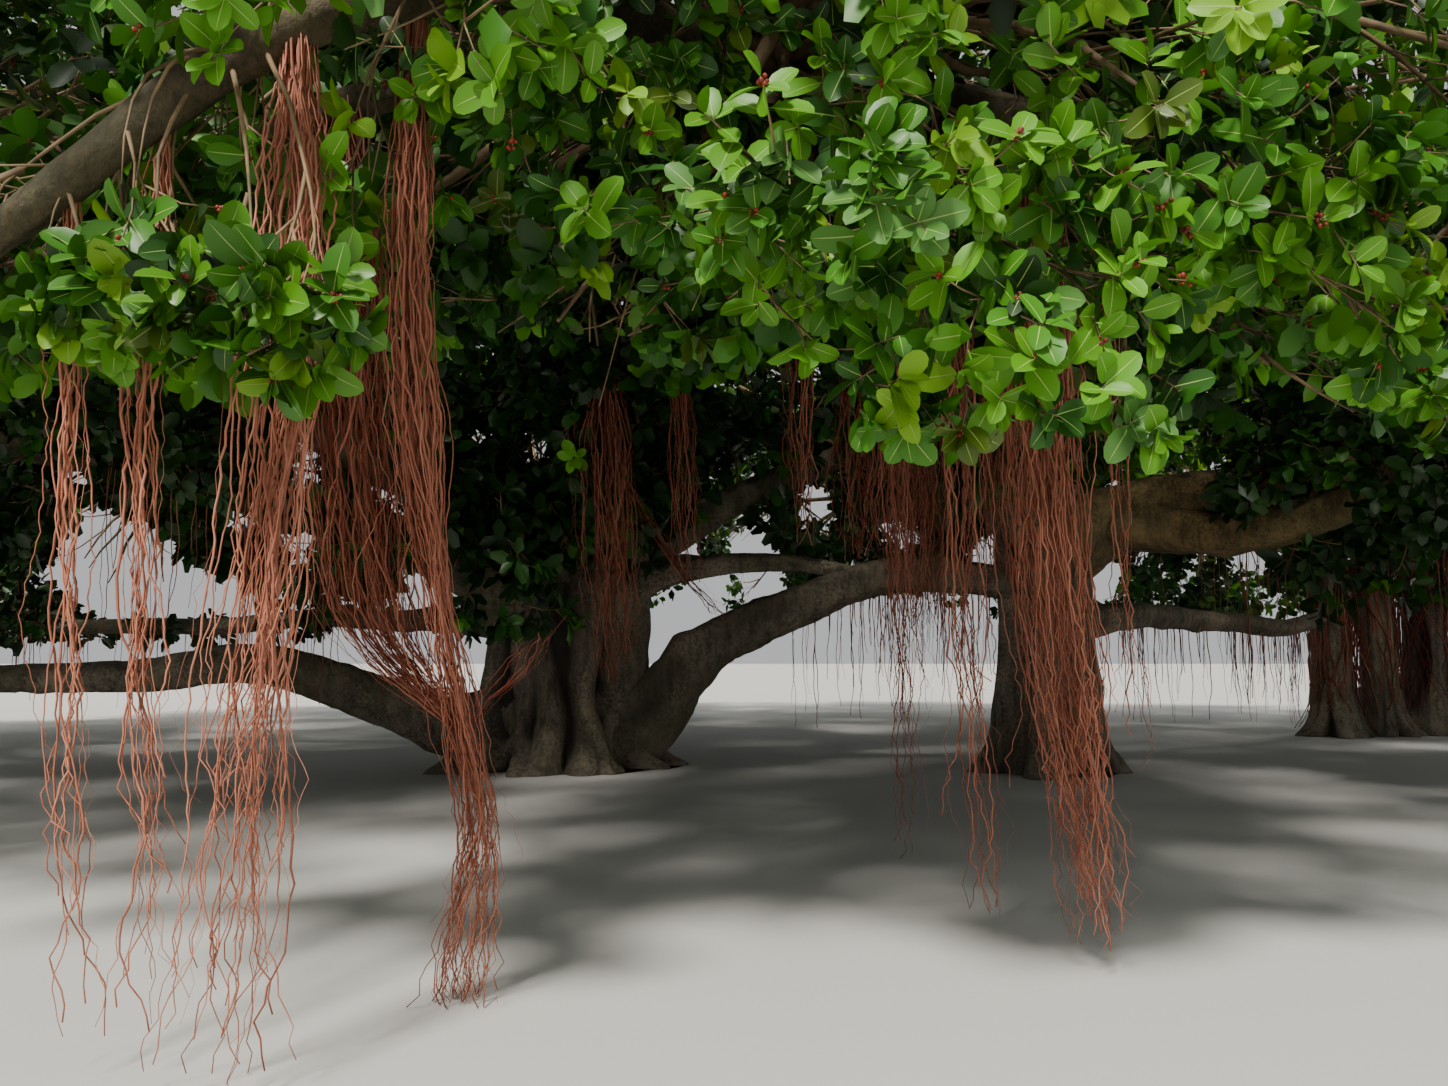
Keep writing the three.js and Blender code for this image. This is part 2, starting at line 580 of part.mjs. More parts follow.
// A bundle of aerial roots: strands that wander down side by side from a head under the carrier
function rootBundle(bundle, seed) {
  const curve = curveOf(bundle.way);
  const grounded = bundle.way.at(-1)[2] === 0;
  const head = {
    way: [curve.getPointAt(0).toArray(), curve.getPointAt(0).setZ(bundle.way[0][2] - HEAD_DROP).toArray()],
    radii: [HEAD_RADIUS + bundle.spread[0], HEAD_RADIUS],
    sides: 6,
    steps: 1,
  };
  const strands = Array.from({ length: bundle.strands }, (_, strand) => {
    const angle = strand * GOLDEN_ANGLE + seed;
    const out = Math.sqrt((strand + 0.5) / bundle.strands);
    const shorter = grounded ? 1 : 1 - 0.16 * chance(seed, strand);
    const way = Array.from({ length: STRAND_STEPS + 1 }, (_, step) => {
      const share = (step / STRAND_STEPS) * shorter;
      const spot = curve.getPoint(share);
      const sway = 0.25 * Math.sin(5 * share + strand * 1.7);
      const wide = along(bundle.spread, share) * out;
      spot.x += wide * Math.cos(angle + sway);
      spot.y += wide * Math.sin(angle + sway);
      return spot.toArray();
    });
    return limb({ way, radii: [STRAND_RADIUS * 1.2, STRAND_RADIUS * 0.7], sides: STRAND_SIDES, steps: STRAND_STEPS });
  });
  const joined = [limb(head), ...strands].reduce((all, strand) => all.add(strand));
  const cut = cutBy(joined, placedSolids());
  return grounded ? cut.trimByPlane([0, 0, 1], 0) : cut;
}

for (const [index, bundle] of ROOT_BUNDLES.entries()) {
  pieces.push({ name: bundle.name, solid: rootBundle(bundle, index + 1), finish: AERIAL_ROOT });
}
const bundleBodies = ROOT_BUNDLES.map((bundle) => withSteps({
  way: bundle.way,
  radii: bundle.spread.map((wide) => 1.4 * wide + HEAD_RADIUS),
}, BRANCH_SIDES, BOUGH_STEP));
bundleBodies.forEach((body, index) => remember(ROOT_BUNDLES[index].name, limb(body, BUNDLE_CLEARANCE), body));

// Foliage last: core, branches and leaves joined, and cut clear of every limb that is not its own
for (const { mass, stem, branches, seed } of massParts) {
  const own = [`stem of ${mass.name}`, ...branches.map((branch) => branch.name)];
  const others = [...placed.entries()].filter(([name]) => !own.includes(name)).map(([, entry]) => entry.grown);
  const obstacles = wasm.Manifold.union(others);
  const clearOf = (spots, shape) => (
    isClear(spots, TWIG_RADIUS + LEAF_CLEARANCE, own) && shape.intersect(obstacles).isEmpty());
  const core = cutBy(denseCore(mass, seed), [obstacles]);
  const woody = [limb(stem), ...branches.map((branch) => limb(branch))].map((solid) => (
    cutBy(solid, [placed.get(mass.carrier).grown])));
  const leafy = twigsOf(mass, seed, clearOf);
  const solid = largestPiece([core, ...woody, ...leafy].reduce((all, piece) => all.add(piece)));
  pieces.push({ name: mass.name, solid, finish: FOLIAGE });
}

function meshOf({ name, solid, finish }) {
  const { vertProperties, triVerts } = solid.getMesh();
  const geometry = new THREE.BufferGeometry();
  geometry.setAttribute("position", new THREE.BufferAttribute(vertProperties, 3));
  geometry.setIndex(new THREE.BufferAttribute(triVerts, 1));
  const mesh = new THREE.Mesh(geometry, new THREE.MeshStandardMaterial(finish));
  mesh.name = name;
  return mesh;
}

const tree = new THREE.Group();
pieces.forEach((piece) => tree.add(meshOf(piece)));

export default tree;
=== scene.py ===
import math
from functools import lru_cache

import bpy
import numpy as np
from bpy.props import FloatProperty, FloatVectorProperty, IntProperty, PointerProperty
from bpy.types import Operator, Panel, PropertyGroup
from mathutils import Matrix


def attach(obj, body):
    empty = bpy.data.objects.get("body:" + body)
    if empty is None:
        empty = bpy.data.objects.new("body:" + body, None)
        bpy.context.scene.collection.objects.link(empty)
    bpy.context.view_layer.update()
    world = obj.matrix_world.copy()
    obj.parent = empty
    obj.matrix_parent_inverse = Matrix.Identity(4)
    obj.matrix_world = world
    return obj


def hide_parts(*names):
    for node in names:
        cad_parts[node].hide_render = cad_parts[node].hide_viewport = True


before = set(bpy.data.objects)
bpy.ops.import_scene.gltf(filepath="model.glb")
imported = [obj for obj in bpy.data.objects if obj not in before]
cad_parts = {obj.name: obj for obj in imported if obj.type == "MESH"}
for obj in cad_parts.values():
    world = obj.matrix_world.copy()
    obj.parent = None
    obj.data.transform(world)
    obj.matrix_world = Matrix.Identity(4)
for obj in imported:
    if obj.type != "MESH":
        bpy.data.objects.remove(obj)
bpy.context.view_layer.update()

bl_info = {
    "name": "Banyan tree",
    "version": (1, 0, 0),
    "blender": (4, 5, 0),
    "location": "View3D > Sidebar > Banyan",
    "description": "Grows a spreading banyan: fluted trunks, boughs, hanging roots, twigs, leaves and figs",
    "category": "Object",
}

GOLDEN_ANGLE = math.pi * (3 - math.sqrt(5))
BODY = "root"

# First seed of the chance in each kind of thing, and what is added to a mass's seed for its twigs and figs
STEM_SEED, BOUGH_SEED, ROOT_SEED, HEM_SEED, WRAP_SEED = 11, 41, 71, 91, 131
MASS_SEED, MASS_LEAF_SEED, SHOOT_SEED, SHOOT_LEAF_SEED = 1000, 2000, 3000, 4000
TWIG_SEED, FIG_SEED = 3, 7

# Grids: points round and rings up for each trunk, and sides and metres between rings for boughs
STEM_GRIDS = ((240, 90), (190, 80), (100, 50), (100, 50), (100, 50))
LOW_BOUGH_GRID, CROWN_BOUGH_GRID, HEM_GRID = (32, 0.07), (22, 0.1), (22, 0.045)
BOUGH_COLLAR, HEM_COLLAR = 0.7, 0.15

# Camera: its place, its pitch above level in degrees, and its lens in millimetres
CAMERA_PLACE = (2.2, -14.8, 1.48)
CAMERA_PITCH = 5.9
CAMERA_LENS = 26.85
SENSOR_WIDTH = 36
FARTHEST_SEEN = 500

# Stage: the floor's half side, depth and roughness, the sky's light, and the sun's with its angles in degrees
FLOOR_SIDE = 160
FLOOR_DEPTH = 0.002
FLOOR_ROUGHNESS = 0.9
SKY_COLOUR, SKY_STRENGTH = (0.97, 0.98, 1.0, 1), 0.55
SUN_COLOUR, SUN_STRENGTH = (1.0, 0.96, 0.88), 5.2
SUN_SOFTNESS, SUN_TILT, SUN_TURN = 10, 40, -24

# Spaces of the masses: a depth is 0 in a mass's middle and 1 on its surface
MASS_ROUNDNESS = 3.1
CLEFT_REACH, CLEFT_OTHER_REACH = 1.2, 1.08
REACH_STEP = 0.05
LONGEST_REACH = 6.5
LEAF_TIP_SHARE = 0.93
INNER_DEPTH = 0.5
SHADED_DEPTH = 0.62
SHADE_DISTANCE = 0.9

# The middle of the crown, and limits in metres for what grows
CROWN_CENTRE = (2.1, 1.5)
LIMB_CLEARANCE = 0.09
LOWEST_SHOOT = 1.75
HIGHEST_TWIG = 10.37
NORTHMOST_TWIG = 15.36


# The tree's own measures

# Upright stems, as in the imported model: foot, lean at the top, radius against height, and lobes.
# Only here: how many fused roots show, and how far they stand out.
STEMS = [
    {"name": "main_trunk", "foot": (0, 0), "lean": (0.12, 0.15), "roots": 19, "relief": 0.24,
     "profile": [(0, 1.5), (0.25, 1.22), (0.7, 1.04), (1.3, 0.96), (2.0, 0.98), (2.6, 0.9), (3.05, 0.62),
                 (3.2, 0.3)],
     "lobes": ((5, 0.11, 0.6), (8, 0.06, 1.9))},
    {"name": "second_trunk", "foot": (6.3, -0.8), "lean": (0.1, 0.1), "roots": 13, "relief": 0.22,
     "profile": [(0, 0.88), (0.4, 0.68), (1.2, 0.58), (2.4, 0.56), (3.6, 0.58), (4.3, 0.44), (4.5, 0.26)],
     "lobes": ((4, 0.1, 0.2), (7, 0.07, 1.1))},
    {"name": "far_trunk_west", "foot": (13.4, 5.2), "lean": (0.1, 0.2), "roots": 12, "relief": 0.2,
     "profile": [(0, 0.64), (0.3, 0.44), (1.4, 0.34), (2.6, 0.32), (3.5, 0.26), (3.6, 0.16)],
     "lobes": ((4, 0.1, 0.9), (6, 0.06, 0.1))},
    {"name": "far_trunk_middle", "foot": (14.4, 5.45), "lean": (-0.1, -0.1), "roots": 11, "relief": 0.2,
     "profile": [(0, 0.6), (0.3, 0.39), (1.4, 0.3), (2.8, 0.28), (3.9, 0.24), (4.0, 0.15)],
     "lobes": ((3, 0.09, 1.4), (6, 0.07, 0.7))},
    {"name": "far_trunk_east", "foot": (15.38, 5.75), "lean": (0.15, 0), "roots": 13, "relief": 0.2,
     "profile": [(0, 0.68), (0.3, 0.48), (1.4, 0.37), (2.6, 0.34), (3.6, 0.27), (3.7, 0.16)],
     "lobes": ((4, 0.1, 0.3), (7, 0.06, 2.2))},
]

# Boughs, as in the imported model, which has the arch in two parts: the way of the middle line, and the radius
# at each of its points
BOUGHS = {
    "bough_west_low": (
        [(-0.5, 0, 0.55), (-1.5, -0.1, 0.5), (-2.4, -0.2, 0.9), (-3.7, -0.3, 1.28), (-5.6, -0.3, 1.22),
         (-7.8, -0.1, 1.16), (-9.4, 0.5, 1.7), (-10.6, 1.3, 2.7)],
        [0.4, 0.33, 0.27, 0.24, 0.2, 0.18, 0.16, 0.13]),
    "bough_west_high": (
        [(-0.3, 0.5, 1.75), (-1.6, 1.2, 1.95), (-4.0, 2.2, 2.04), (-6.6, 2.6, 1.94), (-9.3, 3.2, 2.1),
         (-10.6, 4.5, 3.1)],
        [0.24, 0.17, 0.14, 0.12, 0.11, 0.1]),
    "bough_arch": (
        [(0.4, -0.05, 0.35), (1.14, -0.1, 0.66), (1.74, -0.15, 1.32), (2.42, -0.2, 1.82), (3.07, -0.3, 2.12),
         (3.88, -0.4, 2.41), (4.67, -0.5, 2.53), (5.45, -0.6, 2.5), (6.2, -0.75, 2.4)],
        [0.5, 0.4, 0.34, 0.3, 0.27, 0.25, 0.23, 0.22, 0.22]),
    "bough_arch_upper": (
        [(0.5, 0, 2.1), (1.2, -0.05, 2.5), (2.2, -0.1, 2.72), (3.2, -0.3, 2.68), (4.1, -0.42, 2.5)],
        [0.3, 0.2, 0.15, 0.12, 0.1]),
    "bough_upper_east": (
        [(0.5, 0.25, 2.7), (1.6, 0.3, 3.2), (2.97, 0.5, 3.95), (4.6, 1.6, 4.75), (5.8, 2.7, 5.3)],
        [0.3, 0.23, 0.19, 0.16, 0.13]),
    "bough_crown_south": (
        [(0.15, -0.35, 2.8), (0.4, -1.4, 3.9), (0.75, -2.6, 4.8), (0.9, -3.3, 5.3)],
        [0.34, 0.24, 0.19, 0.16]),
    "bough_south_west": (
        [(-0.35, -0.4, 2.6), (-1.5, -1.9, 3.5), (-2.9, -3.9, 4.2), (-3.9, -5.5, 4.5)],
        [0.34, 0.23, 0.18, 0.15]),
    "bough_west_south": (
        [(-0.45, -0.15, 2.2), (-2.2, -1.0, 3.05), (-5.2, -2.3, 3.75), (-8.2, -3.3, 4.2)],
        [0.33, 0.22, 0.18, 0.14]),
    "bough_crown_west": (
        [(-0.35, 0, 2.8), (-1.6, -0.2, 4.0), (-3.1, -0.6, 4.95), (-4.3, -0.9, 5.5)],
        [0.33, 0.23, 0.19, 0.16]),
    "bough_crown_north_west": (
        [(-0.2, 0.45, 2.7), (-1.4, 1.9, 4.0), (-2.7, 3.3, 4.9), (-3.6, 4.1, 5.5)],
        [0.32, 0.22, 0.18, 0.15]),
    "bough_north": (
        [(0, 0.6, 2.3), (-0.3, 2.6, 3.4), (-1.0, 5.4, 4.0), (-1.7, 8.1, 4.4)],
        [0.33, 0.23, 0.18, 0.14]),
    "bough_crown_north": (
        [(0.3, 0.45, 2.8), (0.75, 1.5, 4.1), (0.95, 2.4, 5.0), (1.0, 2.9, 5.5)],
        [0.3, 0.22, 0.18, 0.15]),
    "bough_south": (
        [(6.15, -1.0, 3.3), (5.5, -2.3, 4.1), (4.4, -4.0, 4.75), (3.2, -5.6, 5.0)],
        [0.32, 0.24, 0.19, 0.16]),
    "bough_north_east": (
        [(6.4, -0.5, 3.4), (6.5, 1.4, 4.0), (6.1, 5.0, 4.25), (5.7, 8.4, 4.45)],
        [0.3, 0.22, 0.18, 0.14]),
    "bough_east_main": (
        [(6.5, -0.85, 3.0), (8.2, -1.4, 3.45), (10.6, -1.9, 3.7), (12.6, -2.3, 4.2)],
        [0.42, 0.3, 0.23, 0.17]),
    "bough_east_low": (
        [(7.3, -1.1, 3.2), (8.4, -1.9, 2.9), (9.2, -3.3, 3.3), (9.5, -4.7, 4.3)],
        [0.28, 0.24, 0.19, 0.15]),
    "bough_east_link": (
        [(6.4, -0.7, 1.9), (8.6, 0.7, 2.02), (10.9, 2.5, 1.92), (12.4, 4.0, 2.05), (13.5, 5.3, 2.4)],
        [0.24, 0.17, 0.15, 0.14, 0.14]),
}

# Foliage masses: the middle and half sizes of each one's space, its carrier, and its rise toward +Y
MASSES = [
    ("foliage_south", (2.6, -8.0, 5.6), (4.5, 3.9, 2.3), "bough_south", 0.3),
    ("foliage_south_west", (-4.9, -7.6, 5.3), (4.3, 4.0, 2.4), "bough_south_west", 0.25),
    ("foliage_west_south", (-11.3, -4.2, 4.9), (4.3, 4.2, 2.7), "bough_west_south", 0),
    ("foliage_west", (-13.1, 2.6, 4.7), (4.0, 4.0, 2.6), "bough_west_low", 0),
    ("foliage_north_west", (-9.8, 8.8, 5.2), (4.3, 4.2, 2.4), "bough_west_high", 0),
    ("foliage_north", (-2.2, 11.0, 4.9), (4.3, 4.1, 2.7), "bough_north", 0),
    ("foliage_north_middle", (5.4, 11.3, 5.3), (4.3, 4.1, 2.4), "bough_north_east", 0),
    ("foliage_north_east", (12.8, 9.8, 4.85), (4.3, 4.1, 2.7), "far_trunk_west", 0),
    ("foliage_east_north", (17.4, 4.2, 4.8), (4.1, 4.2, 2.7), "far_trunk_east", 0),
    ("foliage_east", (15.8, -2.8, 5.1), (4.3, 4.1, 2.6), "bough_east_main", 0),
    ("foliage_south_east", (9.9, -7.2, 5.5), (4.4, 4.1, 2.3), "bough_east_low", 0.25),
    ("crown_west", (-6.2, -1.2, 7.3), (4.3, 4.1, 2.7), "bough_crown_west", 0),
    ("crown_north_west", (-5.2, 5.2, 7.4), (4.2, 4.1, 2.8), "bough_crown_north_west", 0),
    ("crown_south", (0.6, -3.9, 7.5), (4.2, 4.1, 2.8), "bough_crown_south", 0),
    ("crown_north", (1.2, 3.7, 7.6), (4.2, 4.1, 2.9), "bough_crown_north", 0),
    ("crown_south_east", (6.8, -2.8, 7.5), (4.2, 4.1, 2.8), "second_trunk", 0),
    ("crown_north_east", (7.9, 4.6, 7.5), (4.2, 4.1, 2.8), "bough_upper_east", 0),
    ("crown_east", (13.0, 1.5, 7.2), (4.2, 4.1, 2.6), "far_trunk_middle", 0),
]

# Branches that run down to the low south hem, each with its radii
HEM_BRANCHES = [
    ([(2.6, -8.0, 4.95), (1.6, -9.9, 4.6), (0.5, -10.75, 3.95), (-0.4, -10.9, 3.15), (-0.9, -10.8, 2.8)],
     [0.13, 0.115, 0.1, 0.1, 0.05]),
    ([(2.6, -8.0, 4.95), (1.2, -8.9, 4.75), (0.3, -9.6, 4.25), (-0.5, -9.7, 3.8)],
     [0.12, 0.1, 0.08, 0.05]),
    ([(2.6, -8.0, 4.95), (3.4, -8.9, 4.6), (3.85, -9.6, 4.15), (4.9, -10.4, 3.3)],
     [0.13, 0.12, 0.1, 0.05]),
]

# Underside of the near rim as seen from the camera's place: sideways and upward metres for each metre away.
# Past FREE_HANG_DEPTH leaves may hang lower by FREE_HANG, and past RIM_DEPTH the line doesn't count.
# Nothing counts as nearer than NEAREST_SEEN.
NEAREST_SEEN = 0.5
RIM_MARGIN, FREE_HANG, FREE_HANG_DEPTH = 0.02, 0.06, 5.6
RIM_LINE = [
    (-0.90, 0.30), (-0.67, 0.30), (-0.61, 0.31), (-0.48, 0.285), (-0.45, 0.245), (-0.365, 0.25),
    (-0.345, 0.33), (-0.27, 0.38), (-0.20, 0.37), (-0.165, 0.335), (-0.155, 0.39), (-0.078, 0.39),
    (-0.068, 0.305), (0.0, 0.31), (0.025, 0.33), (0.045, 0.275), (0.1, 0.28), (0.135, 0.2), (0.22, 0.2),
    (0.25, 0.235), (0.375, 0.215), (0.475, 0.25), (0.49, 0.31), (0.56, 0.31), (0.58, 0.245), (0.67, 0.26),
    (0.9, 0.25)]

# Part of that underside, in the same measure, where the rim also lets a bundle farther in show
DEEP_NOTCH = (-0.156, -0.078)
RIM_DEPTH, NOTCH_DEPTH = 8.4, 11.2

# Gaps far in the crown where the sky shows, in the same measure: middle across and up, half width and height
SKY_GAPS = [
    (-0.565, 0.085, 0.065, 0.058), (-0.605, 0.175, 0.025, 0.022), (-0.49, 0.06, 0.035, 0.03),
    (-0.385, 0.2, 0.03, 0.026), (-0.39, 0.105, 0.026, 0.024), (-0.278, 0.06, 0.034, 0.028),
    (0.345, 0.07, 0.03, 0.026), (-0.45, 0.135, 0.022, 0.022), (0.03, 0.1, 0.026, 0.022),
    (0.5, 0.1, 0.024, 0.022), (-0.23, 0.2, 0.022, 0.02)]
SKY_GAP_DEPTH = 9.0
SMALL_GAPS, SMALL_GAP_SIZE = 12, 0.024
GAPS_ACROSS, GAPS_UP = (-0.47, 0.9, 0.618), (0.06, 0.13, 0.57)

# Sprays that hang below the south hem: the end of each and how far its leaves spread.
# The first four hang in front of a bundle, and those west of LOW_BRANCH_EAST grow from the low branch.
COVERING_SPRAYS = 4
LOW_BRANCH_EAST = 1.25
HEM_SPRAYS = [
    ((0.62, -11.3, 2.63), 0.28), ((0.84, -11.25, 2.62), 0.22), ((3.35, -11.0, 2.6), 0.3),
    ((3.0, -10.85, 2.55), 0.34), ((0.05, -11.1, 3.15), 0.4), ((-0.1, -10.8, 2.95), 0.35),
    ((0.33, -10.8, 3.42), 0.25), ((0.34, -11.0, 3.74), 0.2), ((0.93, -10.9, 3.8), 0.3),
    ((0.71, -10.45, 3.5), 0.22), ((1.2, -10.7, 3.95), 0.3), ((0.1, -10.2, 3.6), 0.35),
    ((-0.75, -10.9, 2.85), 0.35), ((1.6, -9.7, 2.67), 0.13), ((2.45, -10.9, 2.95), 0.35),
    ((-0.45, -9.9, 3.6), 0.35), ((3.75, -10.9, 2.62), 0.34), ((4.5, -10.8, 2.85), 0.35),
    ((5.0, -10.5, 2.85), 0.35), ((1.55, -10.2, 4.1), 0.35), ((2.1, -10.2, 4.05), 0.35),
    ((1.75, -10.3, 3.75), 0.3), ((3.96, -10.8, 3.3), 0.3), ((4.4, -10.7, 3.25), 0.3),
    ((2.8, -11.2, 3.0), 0.35), ((-1.3, -10.2, 2.95), 0.4), ((5.6, -10.0, 2.9), 0.4),
    ((-0.31, -10.95, 2.92), 0.32), ((-0.11, -10.9, 2.88), 0.3), ((0.16, -11.05, 2.82), 0.3),
    ((0.16, -11.2, 3.12), 0.26), ((0.1, -10.8, 3.1), 0.35), ((-0.75, -10.4, 2.98), 0.4),
]

# Leafy shoots straight from a bough: where along it they start and end, how far they reach, and how many
BOUGH_SHOOTS = {
    "bough_south_west": (0.03, 0.95, 1.3, 54),
    "bough_west_south": (0.25, 0.98, 1.35, 46),
    "bough_crown_west": (0.03, 0.95, 1.2, 28),
    "bough_crown_north_west": (0.15, 0.95, 1.2, 20),
    "bough_crown_south": (0.03, 0.95, 1.2, 44),
    "bough_crown_north": (0.25, 0.95, 1.2, 18),
    "bough_north": (0.15, 0.95, 1.3, 32),
    "bough_upper_east": (0.3, 0.95, 1.1, 26),
    "bough_south": (0.25, 0.95, 1.2, 28),
    "bough_north_east": (0.15, 0.95, 1.3, 32),
    "bough_east_main": (0.3, 0.98, 1.1, 26),
    "bough_west_high": (0.55, 0.98, 0.9, 20),
    "bough_east_low": (0.62, 0.98, 0.7, 14),
}

# Bundles of hanging roots, close to the imported model's: the way of the middle, the spread along it, strands,
# thickness, and shade
# Shade moves a bundle's strands toward the dark or the light root colour: partly the roots' own colour, partly
# painted shade on bundles deeper under the crown
ROOT_BUNDLES = {
    "roots_front_a": ([(-0.26, -10.88, 3.28), (-0.24, -10.85, 2.4), (-0.18, -10.85, 1.2),
                       (-0.06, -10.85, 0.12)],
                      [0.03, 0.07, 0.08, 0.12], 10, 0.0052, 0.82),
    "roots_front_b": ([(0.06, -10.85, 3.6), (0.0, -10.8, 2.4), (0.08, -10.8, 1.2), (0.18, -10.8, 0.14)],
                      [0.03, 0.07, 0.07, 0.12], 13, 0.0052, 0.82),
    "roots_front_c": ([(0.52, -10.76, 3.95), (0.6, -10.95, 2.9), (0.56, -11.0, 1.6), (0.5, -11.02, 0.05)],
                      [0.06, 0.16, 0.17, 0.2], 40, 0.0052, 0.8),
    "roots_front_d": ([(0.9, -10.5, 4.2), (0.84, -10.3, 3.2), (0.89, -10.08, 2.1), (1.06, -10.0, 1.13),
                       (1.13, -10.0, 0.75), (1.06, -10.0, 0)],
                      [0.05, 0.085, 0.105, 0.03, 0.055, 0.065], 40, 0.005, 0.62),
    "roots_front_e": ([(0.3, -9.6, 4.25), (0.36, -9.6, 3.2), (0.43, -9.6, 2.3), (0.58, -9.66, 1.62),
                       (1.05, -9.98, 1.14)],
                      [0.06, 0.22, 0.3, 0.25, 0.02], 70, 0.005, 0.3),
    "roots_middle_f": ([(0.86, -3.1, 5.15), (0.9, -3.15, 4.0), (0.98, -3.15, 2.6), (1.05, -3.15, 1.15)],
                       [0.08, 0.3, 0.3, 0.16], 44, 0.0085, 0.35),
    "roots_middle_g": ([(3.5, -5.25, 4.95), (3.45, -5.3, 4.1), (3.4, -5.3, 3.2), (3.4, -5.3, 2.3)],
                       [0.08, 0.24, 0.26, 0.16], 40, 0.007, 0.3),
    "roots_middle_h": ([(4.3, -4.15, 4.75), (4.2, -4.2, 4.0), (4.15, -4.2, 3.0), (4.15, -4.2, 1.6)],
                       [0.08, 0.3, 0.34, 0.22], 60, 0.007, 0.28),
    "roots_front_k": ([(3.45, -8.98, 4.56), (3.5, -8.95, 3.0), (3.52, -8.9, 1.6), (3.6, -8.9, 0.1)],
                      [0.05, 0.12, 0.12, 0.12], 20, 0.0055, 0.4),
    "roots_front_l": ([(3.8, -9.52, 4.2), (3.76, -9.55, 3.0), (3.78, -9.6, 1.8), (3.96, -9.6, 0.12)],
                      [0.07, 0.175, 0.17, 0.05], 84, 0.0055, 0.55),
}

# Smaller clusters beside a bundle: the bundle that each belongs to, then the same values as a bundle's
ROOT_CLUSTERS = [
    ("roots_front_k", [(3.3, -7.5, 4.6), (3.38, -7.4, 3.2), (3.42, -7.35, 1.8), (3.45, -7.3, 0.1)],
     [0.04, 0.11, 0.12, 0.1], 16, 0.0055, 0.35),
    ("roots_front_l", [(4.1, -9.5, 4.1), (4.14, -9.5, 3.0), (4.16, -9.5, 1.9), (4.2, -9.5, 0.8)],
     [0.02, 0.05, 0.06, 0.07], 5, 0.0055, 0.6),
    ("roots_front_d", [(1.05, -10.0, 1.1), (1.14, -10.02, 1.26), (1.3, -10.06, 1.4), (1.47, -10.12, 1.68)],
     [0.01, 0.05, 0.11, 0.19], 7, 0.0018, -0.3),
    ("roots_middle_f", [(1.75, -4.6, 4.9), (1.8, -4.6, 3.7), (1.84, -4.6, 2.9), (1.86, -4.6, 2.1)],
     [0.04, 0.1, 0.13, 0.1], 14, 0.007, 0.3),
    ("roots_middle_f", [(1.1, -3.1, 3.4), (1.5, -2.3, 2.75), (2.0, -1.3, 2.15), (2.5, -0.5, 1.75)],
     [0.05, 0.07, 0.06, 0.05], 7, 0.0075, 0.4),
    ("roots_middle_h", [(3.95, -4.7, 4.75), (3.9, -4.7, 4.0), (3.88, -4.7, 3.0), (3.9, -4.7, 2.0)],
     [0.08, 0.22, 0.25, 0.2], 40, 0.0065, 0.2),
    ("roots_middle_h", [(4.75, -4.9, 4.7), (4.72, -4.9, 4.0), (4.7, -4.9, 3.0), (4.72, -4.9, 2.1)],
     [0.06, 0.16, 0.2, 0.16], 26, 0.0065, 0.25),
    ("roots_middle_g", [(2.8, -5.6, 4.95), (2.84, -5.6, 4.1), (2.86, -5.6, 3.3), (2.9, -5.6, 2.4)],
     [0.05, 0.12, 0.13, 0.1], 18, 0.007, 0.45),
]

# Curtains of thin roots under a bough: the bough, where along it they start, how long, strands, and shade
# Shade as in the bundles: partly the roots' own colour, partly painted shade under the crown
ROOT_CURTAINS = {
    "roots_arch": ("bough_arch", 0.5, 1.0, 1.7, 80, 0.4),
    "roots_link_near": ("bough_east_link", 0.12, 0.55, 1.5, 60, 0.2),
    "roots_link_far": ("bough_east_link", 0.55, 0.98, 1.6, 60, 0.2),
    "roots_east": ("bough_east_main", 0.2, 0.95, 2.5, 80, 0.25),
    "roots_west": ("bough_west_high", 0.35, 0.9, 1.4, 56, 0.3),
    "roots_south_west": ("bough_south_west", 0.3, 0.9, 2.9, 70, 0.3),
    "roots_north": ("bough_north", 0.3, 0.9, 2.8, 60, 0.3),
    "roots_north_east": ("bough_north_east", 0.3, 0.9, 2.9, 60, 0.3),
}


# Sizes and colours that a user would change

class BanyanSizes(PropertyGroup):
    """Sizes and numbers of the parts that are repeated many times"""

    leaf_length: FloatProperty(
        name="Leaf length", description="Length of a leaf on the low south hem, without its stalk",
        default=0.162, min=0.05, unit="LENGTH")
    far_leaf_scale: FloatProperty(
        name="Far leaf scale", description="How much larger the leaves of the other masses are drawn",
        default=1.8, min=1.0)
    leaf_width_share: FloatProperty(
        name="Leaf width share", description="Width of a leaf as a share of its length", default=0.6, min=0.1)
    fig_radius: FloatProperty(
        name="Fig radius", description="Radius of one fig", default=0.0095, min=0.002, unit="LENGTH")
    leaves_of_a_spray: IntProperty(
        name="Leaves of a spray", description="How many leaves stand round the end of a twig",
        default=7, min=1)


def colour_setting(name, description, default):
    """A colour property with this default"""
    return FloatVectorProperty(
        name=name, description=description, subtype="COLOR", size=3, default=default, min=0, max=1)


